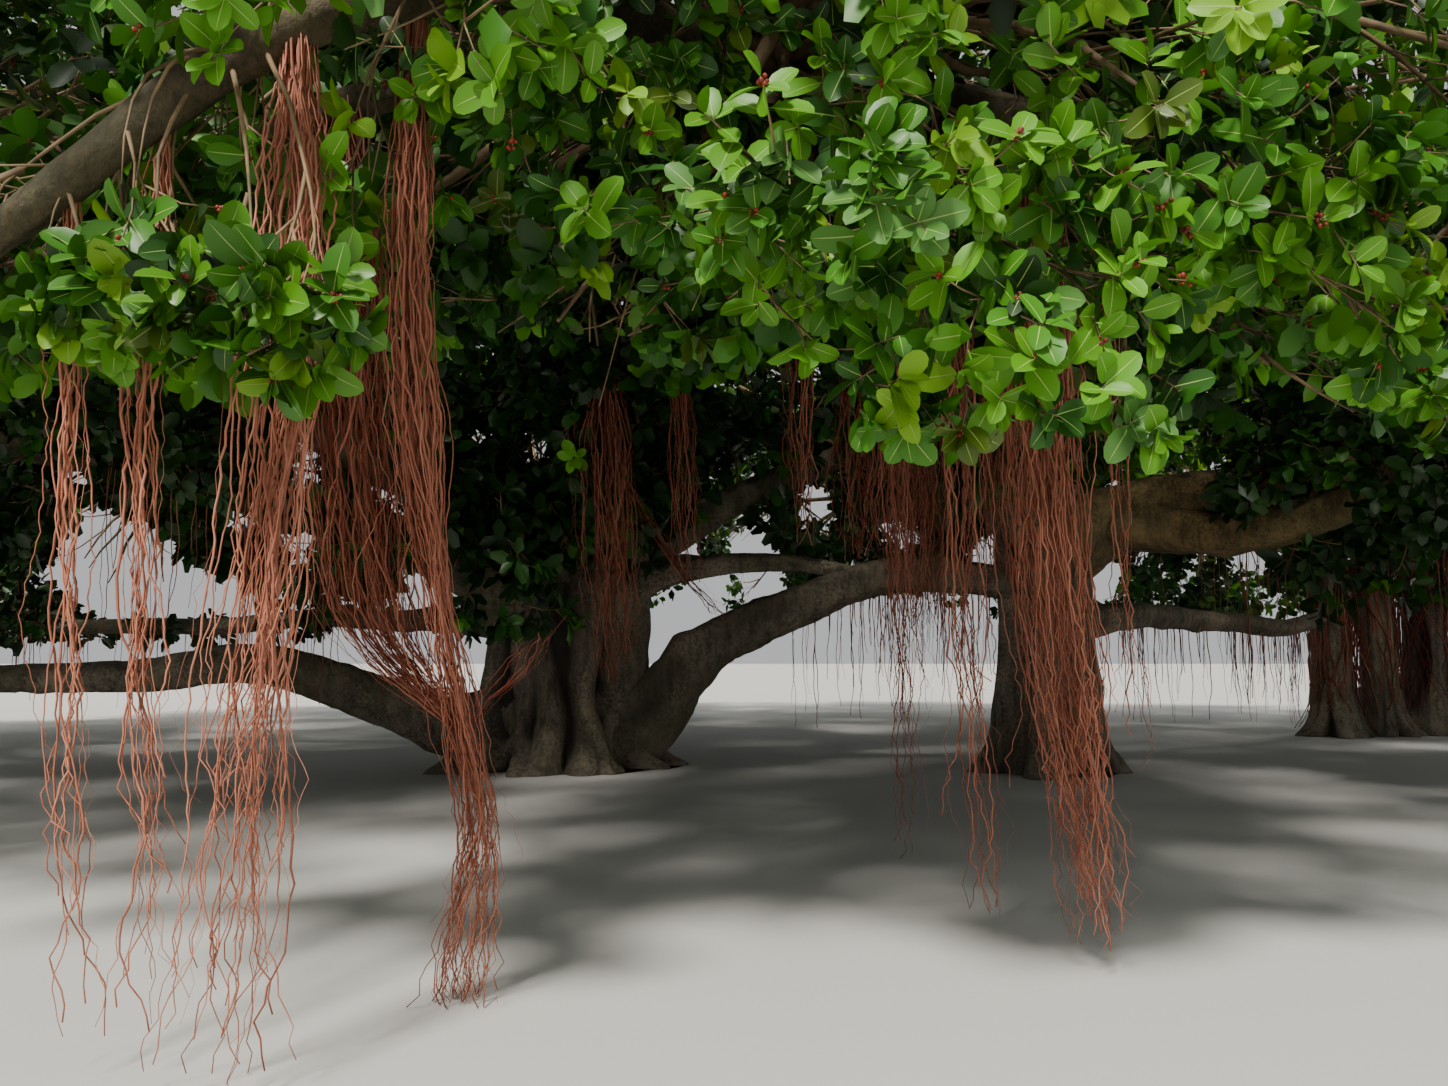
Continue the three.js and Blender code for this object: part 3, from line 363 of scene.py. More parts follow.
class BanyanColours(PropertyGroup):
    """Colours of bark, leaf midribs, figs, roots and floor"""

    bark_light: colour_setting("Light bark", "Raised parts of the bark", (0.23, 0.19, 0.135))
    rim_light: colour_setting(
        "Light rim bark", "Raised parts of the bark of the sunlit south branches", (0.1, 0.07, 0.038))
    # Painted light: a warmer, brighter copy of the raised bark for the low east boughs, standing in for
    # sunlight that filters onto them
    east_painted_sun: colour_setting(
        "Light east bark", "Raised parts of the ochre bark of the low east boughs", (0.27, 0.185, 0.075))
    # Painted shade: the colour that the creases and hollows of the bark are darkened toward
    bark_dark: colour_setting("Dark bark", "Creases of the bark", (0.022, 0.017, 0.012))
    bark_moss: colour_setting("Green bark", "Thin green growth on shaded bark", (0.085, 0.09, 0.036))
    twig: colour_setting("Twig", "Bark of twigs", (0.34, 0.235, 0.12))
    fig: colour_setting("Fig", "Ripe figs", (0.33, 0.045, 0.02))
    root_light: colour_setting("Light root", "Young aerial roots", (0.57, 0.225, 0.135))
    root_dark: colour_setting("Dark root", "Old aerial roots in the shade", (0.16, 0.028, 0.009))
    midrib: colour_setting("Midrib", "Stalk and midrib of a leaf", (0.34, 0.5, 0.12))
    floor: colour_setting("Floor", "Plain pale floor", (0.62, 0.61, 0.58))


# Leaf colours, each dealt out to whole sprays: the share of sprays that take it, and how it gains with light
# Lit sprays take the lighter colours and shaded ones the darker: painted light and shade; pale_sheen is a
# painted sheen
LEAF_COLOURS = [
    ("shade", (0.011, 0.040, 0.005), 0.10, -3.2),
    ("deep", (0.020, 0.094, 0.006), 0.24, -1.2),
    ("middle", (0.048, 0.185, 0.007), 0.32, 0.0),
    ("bright", (0.088, 0.270, 0.007), 0.24, 1.0),
    ("yellow_green", (0.165, 0.350, 0.010), 0.05, 1.2),
    ("olive", (0.070, 0.125, 0.009), 0.05, -0.3),
    ("pale_sheen", (0.075, 0.205, 0.035), 0.05, 0.5),
]


def sizes():
    """The size settings of the scene"""
    return bpy.context.scene.banyan_sizes


def colours():
    """The colour settings of the scene"""
    return bpy.context.scene.banyan_colours


# Shader maths written as expressions

class Value:
    """One output of a node: arithmetic on it adds Math nodes to its material"""

    def __init__(self, finish, output):
        self.finish = finish
        self.output = output

    def maths(self, operation, first, second):
        """A Math node with these two inputs, numbers or values"""
        return self.finish.node("ShaderNodeMath", {"operation": operation}, {0: first, 1: second})

    def __add__(self, other):
        return self.maths("ADD", self, other)

    __radd__ = __add__

    def __mul__(self, other):
        return self.maths("MULTIPLY", self, other)

    __rmul__ = __mul__

    def __sub__(self, other):
        return self.maths("SUBTRACT", self, other)

    def __rsub__(self, other):
        return self.maths("SUBTRACT", other, self)


class Finish:
    """A material whose nodes are added by name"""

    def __init__(self, name):
        self.material = bpy.data.materials.new(name)
        self.material.use_nodes = True
        self.nodes = self.material.node_tree.nodes
        self.links = self.material.node_tree.links
        self.shader = self.nodes["Principled BSDF"]

    def node(self, kind, settings=None, inputs=None, output=0):
        """A node of this kind: its settings first, then the numbers or values of its inputs"""
        made = self.nodes.new(kind)
        for name, setting in (settings or {}).items():
            setattr(made, name, setting)
        for place, given in (inputs or {}).items():
            self.feed(made.inputs[place], given)
        return Value(self, made.outputs[output])

    def feed(self, socket, given):
        """Links a value to a socket, or sets a number or colour on it"""
        if isinstance(given, Value):
            self.links.new(given.output, socket)
        else:
            socket.default_value = given

    def mix(self, share, first, second):
        """Two colours mixed by a share"""
        return self.node("ShaderNodeMix", {"data_type": "RGBA"}, {0: share, 6: first, 7: second}, output=2)

    def place(self, scale=(1, 1, 1)):
        """Object coordinates stretched by a scale"""
        coordinates = self.node("ShaderNodeTexCoord", output="Object")
        return self.node("ShaderNodeMapping", inputs={"Vector": coordinates, "Scale": scale})

    def noise(self, scale, detail=3, stretch=(1, 1, 1), roughness=0.55):
        """Noise from 0 to 1 with its middle near one half"""
        return self.node("ShaderNodeTexNoise", inputs={
            "Vector": self.place(stretch), "Scale": scale, "Detail": detail, "Roughness": roughness})

    def steepened(self, value, low, high):
        """The value drawn out from low..high to 0..1"""
        return self.node("ShaderNodeMapRange", inputs={"Value": value, "From Min": low, "From Max": high})

    def attribute(self, name):
        """A number that the piece's own mesh keeps for each point"""
        return self.node("ShaderNodeAttribute", {"attribute_name": name}, output="Fac")

    def bump(self, height, strength, distance):
        """A bump that feeds the shader's normal"""
        inputs = {"Height": height, "Strength": strength, "Distance": distance}
        self.feed(self.shader.inputs["Normal"], self.node("ShaderNodeBump", inputs=inputs))

    def surface(self, **inputs):
        """Values of the shader's own sockets, with spaces written as underscores"""
        for name, given in inputs.items():
            self.feed(self.shader.inputs[name.replace("_", " ")], given)
        return self.material


def rgba(colour, strength=1.0):
    """A colour made lighter or darker by a strength, with full opacity"""
    return (*[min(1.0, strength * part) for part in colour], 1.0)


# Boughs whose bark is a warmer, brighter copy: painted warm sunlight that filters onto them
PAINTED_SUN_BOUGHS = ("bough_east_main", "bough_east_low")

# Kinds of bark: the colour setting of its raised parts, and how much green growth there is on it
BARKS = {
    "trunk_bark": ("bark_light", 0.35),
    "bough_bark": ("bark_light", 0.6),
    # Painted light: warm sunlight on the low east boughs, as a warmer, brighter bark
    "east_bark": ("east_painted_sun", 0.6),
    "rim_bark": ("rim_light", 0.6),
}


@lru_cache(maxsize=None)
def bark_finish(name):
    """Bark: light ridges, painted shade in the creases from the mesh's own crease value, streaks and green
    growth
    """
    hues = colours()
    setting, green = BARKS[name]
    light = getattr(hues, setting)
    finish = Finish(name)
    streak = finish.noise(3.2, detail=6, stretch=(3.0, 3.0, 0.7), roughness=0.65)
    blotch = finish.noise(1.1, detail=4)
    grain = finish.noise(26, detail=5, roughness=0.7)
    ridge = streak * 0.6 + grain * 0.4
    raised = finish.steepened(ridge, 0.4, 0.6)
    bare = finish.mix(raised, rgba(light, 0.3), rgba(light))
    worn = finish.steepened(blotch * 0.6 + grain * 0.4, 0.5, 0.62)
    pale = finish.mix(worn * 0.7, bare, rgba(light, 1.8))
    growth = finish.steepened(finish.noise(0.7, detail=5), 0.42, 0.62)
    grown = finish.mix(growth * green, pale, rgba(hues.bark_moss))
    # Painted shade: the crease value darkens the hollows between roots and the sunken parts of boughs
    crease = finish.steepened(finish.attribute("crease"), 0.0, 1.0)
    finish.bump(ridge, 0.8, 0.05)
    return finish.surface(
        Base_Color=finish.mix(crease, grown, rgba(hues.bark_dark)), Roughness=grain * 0.2 + 0.72)


@lru_cache(maxsize=None)
def root_finish(name):
    """Aerial root: between dark rust and pale salmon by the strand's tone, its own plus the shade of its
    bundle (partly painted shade), with fine fibres
    """
    hues = colours()
    finish = Finish(name)
    tone = finish.attribute("tone")
    fibre = finish.noise(60, detail=3, stretch=(1, 1, 0.25))
    patch = finish.noise(2.2, detail=3)
    share = finish.steepened(tone + (fibre - 0.5) * 0.5 + (patch - 0.5) * 0.5, 0.0, 1.0)
    finish.bump(fibre, 0.35, 0.004)
    colour = finish.mix(share, rgba(hues.root_dark), rgba(hues.root_light))
    return finish.surface(Base_Color=colour, Roughness=fibre * 0.2 + 0.6)


@lru_cache(maxsize=None)
def twig_finish(name):
    """Twig bark: tan with darker patches"""
    tan = colours().twig
    finish = Finish(name)
    patch = finish.noise(5, detail=4)
    colour = finish.mix(finish.steepened(patch, 0.35, 0.65), rgba(tan, 0.35), rgba(tan))
    return finish.surface(Base_Color=colour, Roughness=patch * 0.2 + 0.65)


@lru_cache(maxsize=None)
def leaf_finish(name, colour):
    """Leaf: its spray's colour, a little lighter and darker over metres, under a thin waxy coat"""
    finish = Finish(name)
    drift = finish.steepened(finish.noise(0.9, detail=2), 0.35, 0.65)
    shade = finish.mix(drift, rgba(colour, 0.78), rgba(colour, 1.2))
    finish.surface(Base_Color=shade, Roughness=drift * 0.1 + 0.42)
    return finish.surface(Specular_IOR_Level=0.32, Coat_Weight=0.05, Coat_Roughness=0.3)


@lru_cache(maxsize=None)
def fig_finish(name):
    """Fig: red with browner patches"""
    red = colours().fig
    finish = Finish(name)
    patch = finish.steepened(finish.noise(9, detail=2), 0.35, 0.65)
    colour = finish.mix(patch, rgba(red, 0.5), rgba(red))
    return finish.surface(Base_Color=colour, Roughness=patch * 0.1 + 0.42)


# Meshes from whole arrays

def unit(vectors):
    """Vectors of length one"""
    return vectors / np.maximum(np.linalg.norm(vectors, axis=-1, keepdims=True), 1e-9)


def joined(parts):
    """Several (points, triangles) as one, with the triangles renumbered"""
    offsets = np.cumsum([0] + [len(points) for points, _ in parts[:-1]])
    points = np.concatenate([points for points, _ in parts])
    triangles = np.concatenate([triangles + offset for (_, triangles), offset in zip(parts, offsets)])
    return points, triangles


def make_piece(name, points, triangles, materials, replaced, dealt=None, values=None):
    """A smooth mesh object from points and triangles, riding on the tree's body.
    Dealt holds the material number of each triangle, and values hold numbers kept for each point."""
    mesh = bpy.data.meshes.new(name)
    mesh.vertices.add(len(points))
    mesh.vertices.foreach_set("co", np.ascontiguousarray(points, dtype=np.float32).ravel())
    mesh.loops.add(3 * len(triangles))
    mesh.loops.foreach_set("vertex_index", np.ascontiguousarray(triangles, dtype=np.int32).ravel())
    mesh.polygons.add(len(triangles))
    mesh.polygons.foreach_set("loop_start", np.arange(len(triangles), dtype=np.int32) * 3)
    for material in materials:
        mesh.materials.append(material)
    if dealt is not None:
        mesh.polygons.foreach_set("material_index", np.ascontiguousarray(dealt, dtype=np.int32))
    mesh.polygons.foreach_set("use_smooth", np.full(len(triangles), True))
    for label, numbers in (values or {}).items():
        kept = mesh.attributes.new(label, "FLOAT", "POINT")
        kept.data.foreach_set("value", np.ascontiguousarray(numbers, dtype=np.float32))
    mesh.update()
    mesh.validate()
    piece = bpy.data.objects.new(name, mesh)
    bpy.context.scene.collection.objects.link(piece)
    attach(piece, BODY)
    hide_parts(*replaced)


CURVE_STEPS = 24


def smooth_way(points, count):
    """Centripetal Catmull-Rom curve through the points: even steps in length"""
    points = np.asarray(points, float)
    ends = [2 * points[0] - points[1]], [2 * points[-1] - points[-2]]
    held = np.concatenate([ends[0], points, ends[1]])
    gaps = np.sqrt(np.linalg.norm(np.diff(held, axis=0), axis=1))
    fine = np.linspace(0, 1, CURVE_STEPS, endpoint=False)[:, None]
    pieces = []
    for index in range(1, len(held) - 2):
        before, here, after = gaps[index - 1:index + 2]
        first, second, third, fourth = held[index - 1:index + 3]
        leave = (second - first) / before - (third - first) / (before + here) + (third - second) / here
        arrive = (third - second) / here - (fourth - second) / (here + after) + (fourth - third) / after
        leave, arrive = leave * here, arrive * here
        bend = 3 * (third - second) - 2 * leave - arrive
        twist = 2 * (second - third) + leave + arrive
        pieces.append(second + leave * fine + bend * fine ** 2 + twist * fine ** 3)
    dense = np.concatenate(pieces + [points[-1:]])
    lengths = np.concatenate([[0], np.cumsum(np.linalg.norm(np.diff(dense, axis=0), axis=1))])
    wanted = np.linspace(0, lengths[-1], count)
    return np.stack([np.interp(wanted, lengths, dense[:, axis]) for axis in range(3)], axis=1)


def along(values, shares):
    """Values read at shares of a list's length, in straight lines between its entries"""
    return np.interp(shares, np.linspace(0, 1, len(values)), values)


def way_length(points):
    """Length of a way"""
    return float(np.linalg.norm(np.diff(np.asarray(points, float), axis=0), axis=1).sum())


def cross_frames(ways):
    """Two directions square to each way at each point, from the axis that the way leans to least"""
    tangents = unit(np.gradient(ways, axis=1))
    calm = np.abs(tangents).max(axis=1).argmin(axis=-1)
    axes = np.eye(3)[calm][:, None, :]
    side = unit(np.cross(tangents, np.broadcast_to(axes, tangents.shape)))
    return tangents, side, np.cross(tangents, side)


def ring_triangles(count, rings, sides):
    """Triangles between neighbouring rings of many tubes, and fans over both ends of each"""
    ring, side = np.meshgrid(np.arange(rings - 1), np.arange(sides), indexing="ij")
    follow = (side + 1) % sides
    low, high = ring * sides, (ring + 1) * sides
    walls = np.stack([
        np.stack([low + side, low + follow, high + follow], -1),
        np.stack([low + side, high + follow, high + side], -1)]).reshape(-1, 3)
    fan = np.arange(1, sides - 1)
    last = (rings - 1) * sides
    start = np.stack([np.zeros_like(fan), fan + 1, fan], -1)
    end = np.stack([np.full_like(fan, last), last + fan, last + fan + 1], -1)
    one = np.concatenate([walls, start, end])
    return (one[None] + (np.arange(count) * rings * sides)[:, None, None]).reshape(-1, 3)


def tubes(ways, radii, sides):
    """Round limbs: at each point of a way a ring of its radius, square to the way"""
    count, rings = ways.shape[:2]
    _, side, up = cross_frames(ways)
    turn = np.linspace(0, 2 * np.pi, sides, endpoint=False)
    around = np.cos(turn)[:, None] * side[:, :, None] + np.sin(turn)[:, None] * up[:, :, None]
    points = ways[:, :, None] + radii[:, :, None, None] * around
    return points.reshape(-1, 3), ring_triangles(count, rings, sides)


def spikes(starts, ends, radii):
    """Closed three-sided needles from a start to a pointed end"""
    heading = unit(ends - starts)
    calm = np.eye(3)[np.abs(heading).argmin(axis=-1)]
    side = unit(np.cross(heading, calm))
    up = np.cross(heading, side)
    turn = np.array([0, 2 * np.pi / 3, 4 * np.pi / 3])
    around = np.cos(turn)[:, None] * side[:, None] + np.sin(turn)[:, None] * up[:, None]
    base = starts[:, None] + radii[:, None, None] * around
    points = np.concatenate([base, ends[:, None]], axis=1)
    one = np.array([[0, 1, 3], [1, 2, 3], [2, 0, 3], [0, 2, 1]])
    return points.reshape(-1, 3), (one[None] + (np.arange(len(starts)) * 4)[:, None, None]).reshape(-1, 3)


# Trunks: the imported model's profile and lobes, with fused roots that run down and spread at the foot

RING_CROWDING = 1.25
LOBES_AT_FOOT, LOBES_FADE = 1.25, 0.75
ROOT_WIDTHS, ROOT_HEAVES, ROOT_OVERLAP = (0.75, 1.35), (0.55, 1.0), 1.25
ROOT_DRIFTS = ((0.16, 1.5), (0.07, 3.7))
ROOT_BASE, ROOT_CREASE = 0.78, 0.75
FLARE, FLARE_HEIGHT = 1.3, 0.35
STEM_RIPPLES = ((0.02, 9, 2.2), (0.015, 17, -3.1))
STEM_ROUGHNESS = ((0.035, 0.55), (0.014, 0.16))


def smooth_profile(profile, heights):
    """Radius at each height on a smooth curve through the profile"""
    curve = smooth_way([(height, radius, 0) for height, radius in profile], 200)
    order = np.argsort(curve[:, 0])
    return np.interp(heights, curve[order, 0], curve[order, 1])


def lumps(points, seed, size, waves=14):
    """Smooth unevenness from -1 to 1 over space: the mean of plane sine waves about a size long"""
    rng = np.random.default_rng(seed)
    ways = unit(rng.normal(size=(waves, 3))) * (2 * np.pi / size) * rng.uniform(0.6, 1.6, (waves, 1))
    return np.sin(points @ ways.T + rng.uniform(0, 2 * np.pi, waves)).sum(axis=-1) / (0.5 * waves)


def roughness_of(points, seed, layers):
    """Sum of layers of lumps, each with its own height and size"""
    return sum(height * lumps(points, seed + index, size) for index, (height, size) in enumerate(layers))


def stem_surface(stem, seed, around, rise):
    """Rings of a trunk: profile times lobes, plus the highest of many round root backs at each place.
    A root's back is the root of one minus the square of the angle from it over its width."""
    rng = np.random.default_rng(seed)
    top = stem["profile"][-1][0]
    heights = top * np.linspace(0, 1, rise) ** RING_CROWDING
    turn = np.linspace(0, 2 * np.pi, around, endpoint=False)
    high, angle = np.meshgrid(heights, turn, indexing="ij")
    radius = smooth_profile(stem["profile"], high)
    strength = LOBES_AT_FOOT - LOBES_FADE * high / top
    swell = sum(depth * np.cos(count * angle + phase) for count, depth, phase in stem["lobes"])
    count = stem["roots"]
    places = (np.arange(count) + rng.uniform(-0.3, 0.3, count)) * 2 * np.pi / count
    widths = rng.uniform(*ROOT_WIDTHS, count) * ROOT_OVERLAP * np.pi / count
    heaves = rng.uniform(*ROOT_HEAVES, count)
    sways = rng.uniform(0, 2 * np.pi, (count, 2)).T
    drift = sum(
        size * np.sin(rate * high[..., None] + sway) for (size, rate), sway in zip(ROOT_DRIFTS, sways))
    apart = (angle[..., None] - places - drift + np.pi) % (2 * np.pi) - np.pi
    backs = heaves * np.sqrt(np.clip(1 - (apart / widths) ** 2, 0, 1))
    back = backs.max(axis=-1)
    flare = 1 + FLARE * np.exp(-high / FLARE_HEIGHT)
    ripple = sum(size * np.sin(turns * angle + rate * high) for size, turns, rate in STEM_RIPPLES)
    relief = stem["relief"] * (back - ROOT_BASE) * flare * np.minimum(1, (top - high) / (0.4 * top) + 0.2)
    around_it = np.stack([radius * np.cos(angle), radius * np.sin(angle), 0.6 * high], -1)
    rough = roughness_of(around_it, seed, STEM_ROUGHNESS)
    out = radius * (1 + swell * strength + relief + ripple + rough)
    x = stem["foot"][0] + stem["lean"][0] * high / top + out * np.cos(angle)
    y = stem["foot"][1] + stem["lean"][1] * high / top + out * np.sin(angle)
    points = np.stack([x, y, high], -1).reshape(-1, 3)
    # Crease: how low a place lies between the root backs, which the bark darkens as painted shade
    crease = np.clip(1 - back / ROOT_CREASE, 0, 1).reshape(-1)
    return points, ring_triangles(1, rise, around), crease


# Boughs: a tube with long muscles, knots, a swollen start and a slightly crooked middle line

FEWEST_RINGS = 16
CROOKEDNESS = 0.16
MUSCLES, MUSCLE_TURN = ((2, 0.07), (3, 0.06), (5, 0.045)), 0.35
KNOTS_IN_A_METRE, KNOT_HEIGHTS = 1.6, (0.05, 0.22)
KNOT_LENGTH, KNOT_WIDTH = 0.16, 0.45
COLLAR_LENGTH = 0.5
WRINKLE, WRINKLES_IN_A_METRE = 0.012, 37
BOUGH_ROUGHNESS = ((0.07, 0.5), (0.03, 0.15))
MUSCLE_CREASE, ROUGH_CREASE, LEAST_CREASE, DEEPEST_CREASE = 2.2, 4, 0.1, 0.8
LOWEST_BARK = 0.004


def bough_surface(way, radii, seed, sides, step, collar):
    """Rings along a bough: radius times one plus long ripples, knots and a collar at its start.
    A knot is a bell-shaped bump in distance along and angle around."""
    rng = np.random.default_rng(seed)
    length = way_length(way)
    rings = max(FEWEST_RINGS, int(length / step))
    share = np.linspace(0, 1, rings)
    middle = smooth_way(way, rings)
    radius = along(radii, share)
    phases = rng.uniform(0, 2 * np.pi, 6)
    ease = np.sin(np.pi * share) ** 0.5
    middle[:, 2] += CROOKEDNESS * radius * ease * np.sin(2.1 * share * length + phases[0])
    middle[:, 1] += CROOKEDNESS * radius * ease * np.sin(1.7 * share * length + phases[1])
    _, side, up = cross_frames(middle[None])
    turn = np.linspace(0, 2 * np.pi, sides, endpoint=False)
    span = share[:, None] * length
    muscle = sum(
        size * np.cos(count * turn + phase + MUSCLE_TURN * span * (-1) ** count)
        for (count, size), phase in zip(MUSCLES, phases[2:]))
    muscle = muscle * (1 + 0.5 * np.sin(1.3 * span + phases[5]))
    knots = int(length * KNOTS_IN_A_METRE) + 2
    places = rng.uniform(0, length, knots)
    angles = rng.uniform(0, 2 * np.pi, knots)
    heights = rng.uniform(*KNOT_HEIGHTS, knots)
    gap = (turn[None, :, None] - angles + np.pi) % (2 * np.pi) - np.pi
    bell = np.exp(-((span[..., None] - places) / KNOT_LENGTH) ** 2 - (gap / KNOT_WIDTH) ** 2)
    ridge = (heights * bell).sum(axis=-1)
    swollen = collar * np.exp(-span / COLLAR_LENGTH)
    bent = 3 * np.cos(turn + phases[0])
    wrinkle = WRINKLE * np.sin(WRINKLES_IN_A_METRE * span + bent) * np.cos(2 * turn + phases[1])
    out = radius[:, None] * (1 + muscle + ridge + swollen + wrinkle)
    around_it = np.cos(turn)[None, :, None] * side[0][:, None] + np.sin(turn)[None, :, None] * up[0][:, None]
    smooth_rings = middle[:, None] + radius[:, None, None] * around_it
    rough = roughness_of(smooth_rings, seed, BOUGH_ROUGHNESS)
    rings_at = middle[:, None] + (out + radius[:, None] * rough)[..., None] * around_it
    rings_at[..., 2] = np.maximum(rings_at[..., 2], LOWEST_BARK)
    # Crease: how sunken a place is, which the bark darkens as painted shade
    crease = np.clip(-MUSCLE_CREASE * muscle - ROUGH_CREASE * rough + LEAST_CREASE, 0, DEEPEST_CREASE)
    return rings_at.reshape(-1, 3), ring_triangles(1, rings, sides), crease.reshape(-1)


# Aerial roots

STRAND_SIDES = 3
CLUMP_STRANDS, CLUMP_SPREAD = 6, 0.16
STRAND_SWAY, STRAND_WALK, STRAND_KINK = 0.016, 0.024, 0.0035
STRAND_TURNS = ((0.75, 2.4), (0.4, 7))
STRAND_GIRTHS, STRAND_TAPER = (0.55, 1.35), (1.05, 0.55)
STRAND_TONES = (-0.45, 0.35)
FRAY_START, FRAY_LENGTH = 0.7, 0.3
NEAR_STRAND_STEP, FAR_STRAND_STEP = 0.062, 0.11
FRAYED, SHORTER = 1.6, 0.3
HAIR_SPREAD, HAIR_GIRTH, HAIR_FRAY, HAIR_SHORTER, HAIR_SEED = 1.3, 0.5, 1.4, 0.15, 5

# The bundle whose strands come together at its end
GATHERED = "roots_front_e"


def clumped_ranks(count, rng):
    """Places in a disc of radius one: clumps on a golden spiral, and strands close round each"""
    clumps = max(2, count // CLUMP_STRANDS)
    order = np.arange(count) % clumps
    out = 0.85 * np.sqrt((order + 0.5) / clumps)
    middle = out[:, None] * np.stack([np.cos(order * GOLDEN_ANGLE), np.sin(order * GOLDEN_ANGLE)], -1)
    return middle + rng.normal(0, CLUMP_SPREAD, (count, 2))


def strand_set(centres, spreads, ranks, thickness, seed, points, frayed, shorter):
    """Strands down a shared middle: each keeps near its place in the spread, wanders and frays at its end.
    Place = middle + spread * (rank, turned slowly) + a sine wave + a random walk + small kinks."""
    rng = np.random.default_rng(seed)
    count = len(ranks)
    share = np.linspace(0, 1, points)
    ends = 1 - shorter * rng.uniform(0, 1, count) ** 1.4
    read = share[None] * ends[:, None]
    grid = np.linspace(0, 1, len(centres))
    ways = np.stack([np.interp(read, grid, centres[:, axis]) for axis in range(3)], -1)
    step = way_length(centres) / points
    rank = np.linalg.norm(ranks, axis=1)[:, None]
    angle = np.arctan2(ranks[:, 1], ranks[:, 0])[:, None]
    wide = along(spreads, read) * rank
    phases = rng.uniform(0, 2 * np.pi, (4, count, 1))
    turns = (size * np.sin(rate * read + phase) for (size, rate), phase in zip(STRAND_TURNS, phases))
    turned = sum(turns, start=angle)
    fray = 1 + frayed * np.clip((share[None] - FRAY_START) / FRAY_LENGTH, 0, 1) ** 1.5
    walk = np.cumsum(rng.normal(0, STRAND_WALK * step ** 0.5, (count, points, 2)), axis=1)
    walk -= share[None, :, None] * 0.6 * walk[:, -1:]
    kinks = rng.normal(0, STRAND_KINK, (count, points, 2)) + (walk - walk[:, :1])
    run = read * points * step
    sway = STRAND_SWAY * np.stack([np.sin(6.1 * run + phases[2]), np.sin(5.3 * run + phases[3])], -1)
    ways[..., 0] += wide * np.cos(turned)
    ways[..., 1] += wide * np.sin(turned)
    ways[..., :2] += (kinks + sway) * fray[..., None] * np.minimum(1, 8 * share)[None, :, None]
    ways[..., 2] = np.maximum(ways[..., 2], thickness)
    girth = thickness * rng.uniform(*STRAND_GIRTHS, count)[:, None]
    radii = girth * (STRAND_TAPER[0] - STRAND_TAPER[1] * share[None] ** 2)
    made, triangles = tubes(ways, radii * (1 + 0.12 * np.sin(11 * run + phases[0])), STRAND_SIDES)
    tone = np.repeat(rng.uniform(*STRAND_TONES, count), points * STRAND_SIDES)
    return made, triangles, tone


def bundle_surface(name, seed):
    """All strands of one bundle and of its smaller clusters: full ones, and hair-thin ones round them"""
    near = name.startswith("roots_front")
    clusters = [ROOT_BUNDLES[name]] + [cluster[1:] for cluster in ROOT_CLUSTERS if cluster[0] == name]
    sets, tones = [], []
    for index, (way, spread, count, thickness, shade) in enumerate(clusters):
        tied = way[-1][2] == 0 or name == GATHERED
        length = way_length(way)
        points = int(length / (NEAR_STRAND_STEP if near else FAR_STRAND_STEP)) + 8
        centres = smooth_way(way, 60)
        own = seed + 10 * index
        rng = np.random.default_rng(own)
        shorter = 0.0 if tied else SHORTER
        frayed = 0.0 if name == GATHERED else FRAYED
        full = strand_set(centres, spread, clumped_ranks(count, rng), thickness, own, points, frayed, shorter)
        hairs = clumped_ranks(max(3, count // 3), rng)
        wider = [HAIR_SPREAD * wide for wide in spread]
        thin = strand_set(centres, wider, hairs, HAIR_GIRTH * thickness, own + HAIR_SEED, points,
                          HAIR_FRAY * frayed, max(shorter, HAIR_SHORTER))
        sets += [full[:2], thin[:2]]
        tones += [full[2] + shade, thin[2] + shade]
    made, triangles = joined(sets)
    return made, triangles, np.concatenate(tones)


WRAP_STRANDS, WRAP_CLOSENESS, WRAP_THICKNESS = 46, (0.98, 1.22), 0.016
WRAP_POINTS, WRAP_FRAY, WRAP_SHORTER, WRAP_SHADE = 22, 0.5, 0.25, 0.12


def wrap_surface(stem, seed):
    """Thin roots that run down close round a trunk, from near its top to the ground"""
    rng = np.random.default_rng(seed)
    foot, top = np.array(stem["foot"], float), stem["profile"][-1][0]
    heights = np.linspace(0.93 * top, 0, 40)
    share = heights[:, None] / top
    centres = np.concatenate([foot + np.array(stem["lean"]) * share, heights[:, None]], axis=1)
    spreads = smooth_profile(stem["profile"], heights)
    angle = rng.uniform(0, 2 * np.pi, WRAP_STRANDS)
    close = rng.uniform(*WRAP_CLOSENESS, WRAP_STRANDS)
    ranks = close[:, None] * np.stack([np.cos(angle), np.sin(angle)], -1)
    made, triangles, tone = strand_set(
        centres, spreads, ranks, WRAP_THICKNESS, seed, WRAP_POINTS, WRAP_FRAY, WRAP_SHORTER)
    return made, triangles, tone + WRAP_SHADE


CURTAIN_POINTS, CURTAIN_LOOSENESS, CURTAIN_GIRTHS = 18, 0.02, (0.004, 0.01)
CURTAIN_DROPS, CURTAIN_TONES = (0.25, 1.0), (-0.25, 0.25)
CURTAIN_SUNK, CURTAIN_SPREAD, CURTAIN_OFF_GROUND = 0.5, 0.05, 0.03
TUFT_SHARE, TUFT_SIZE = 0.6, 0.012


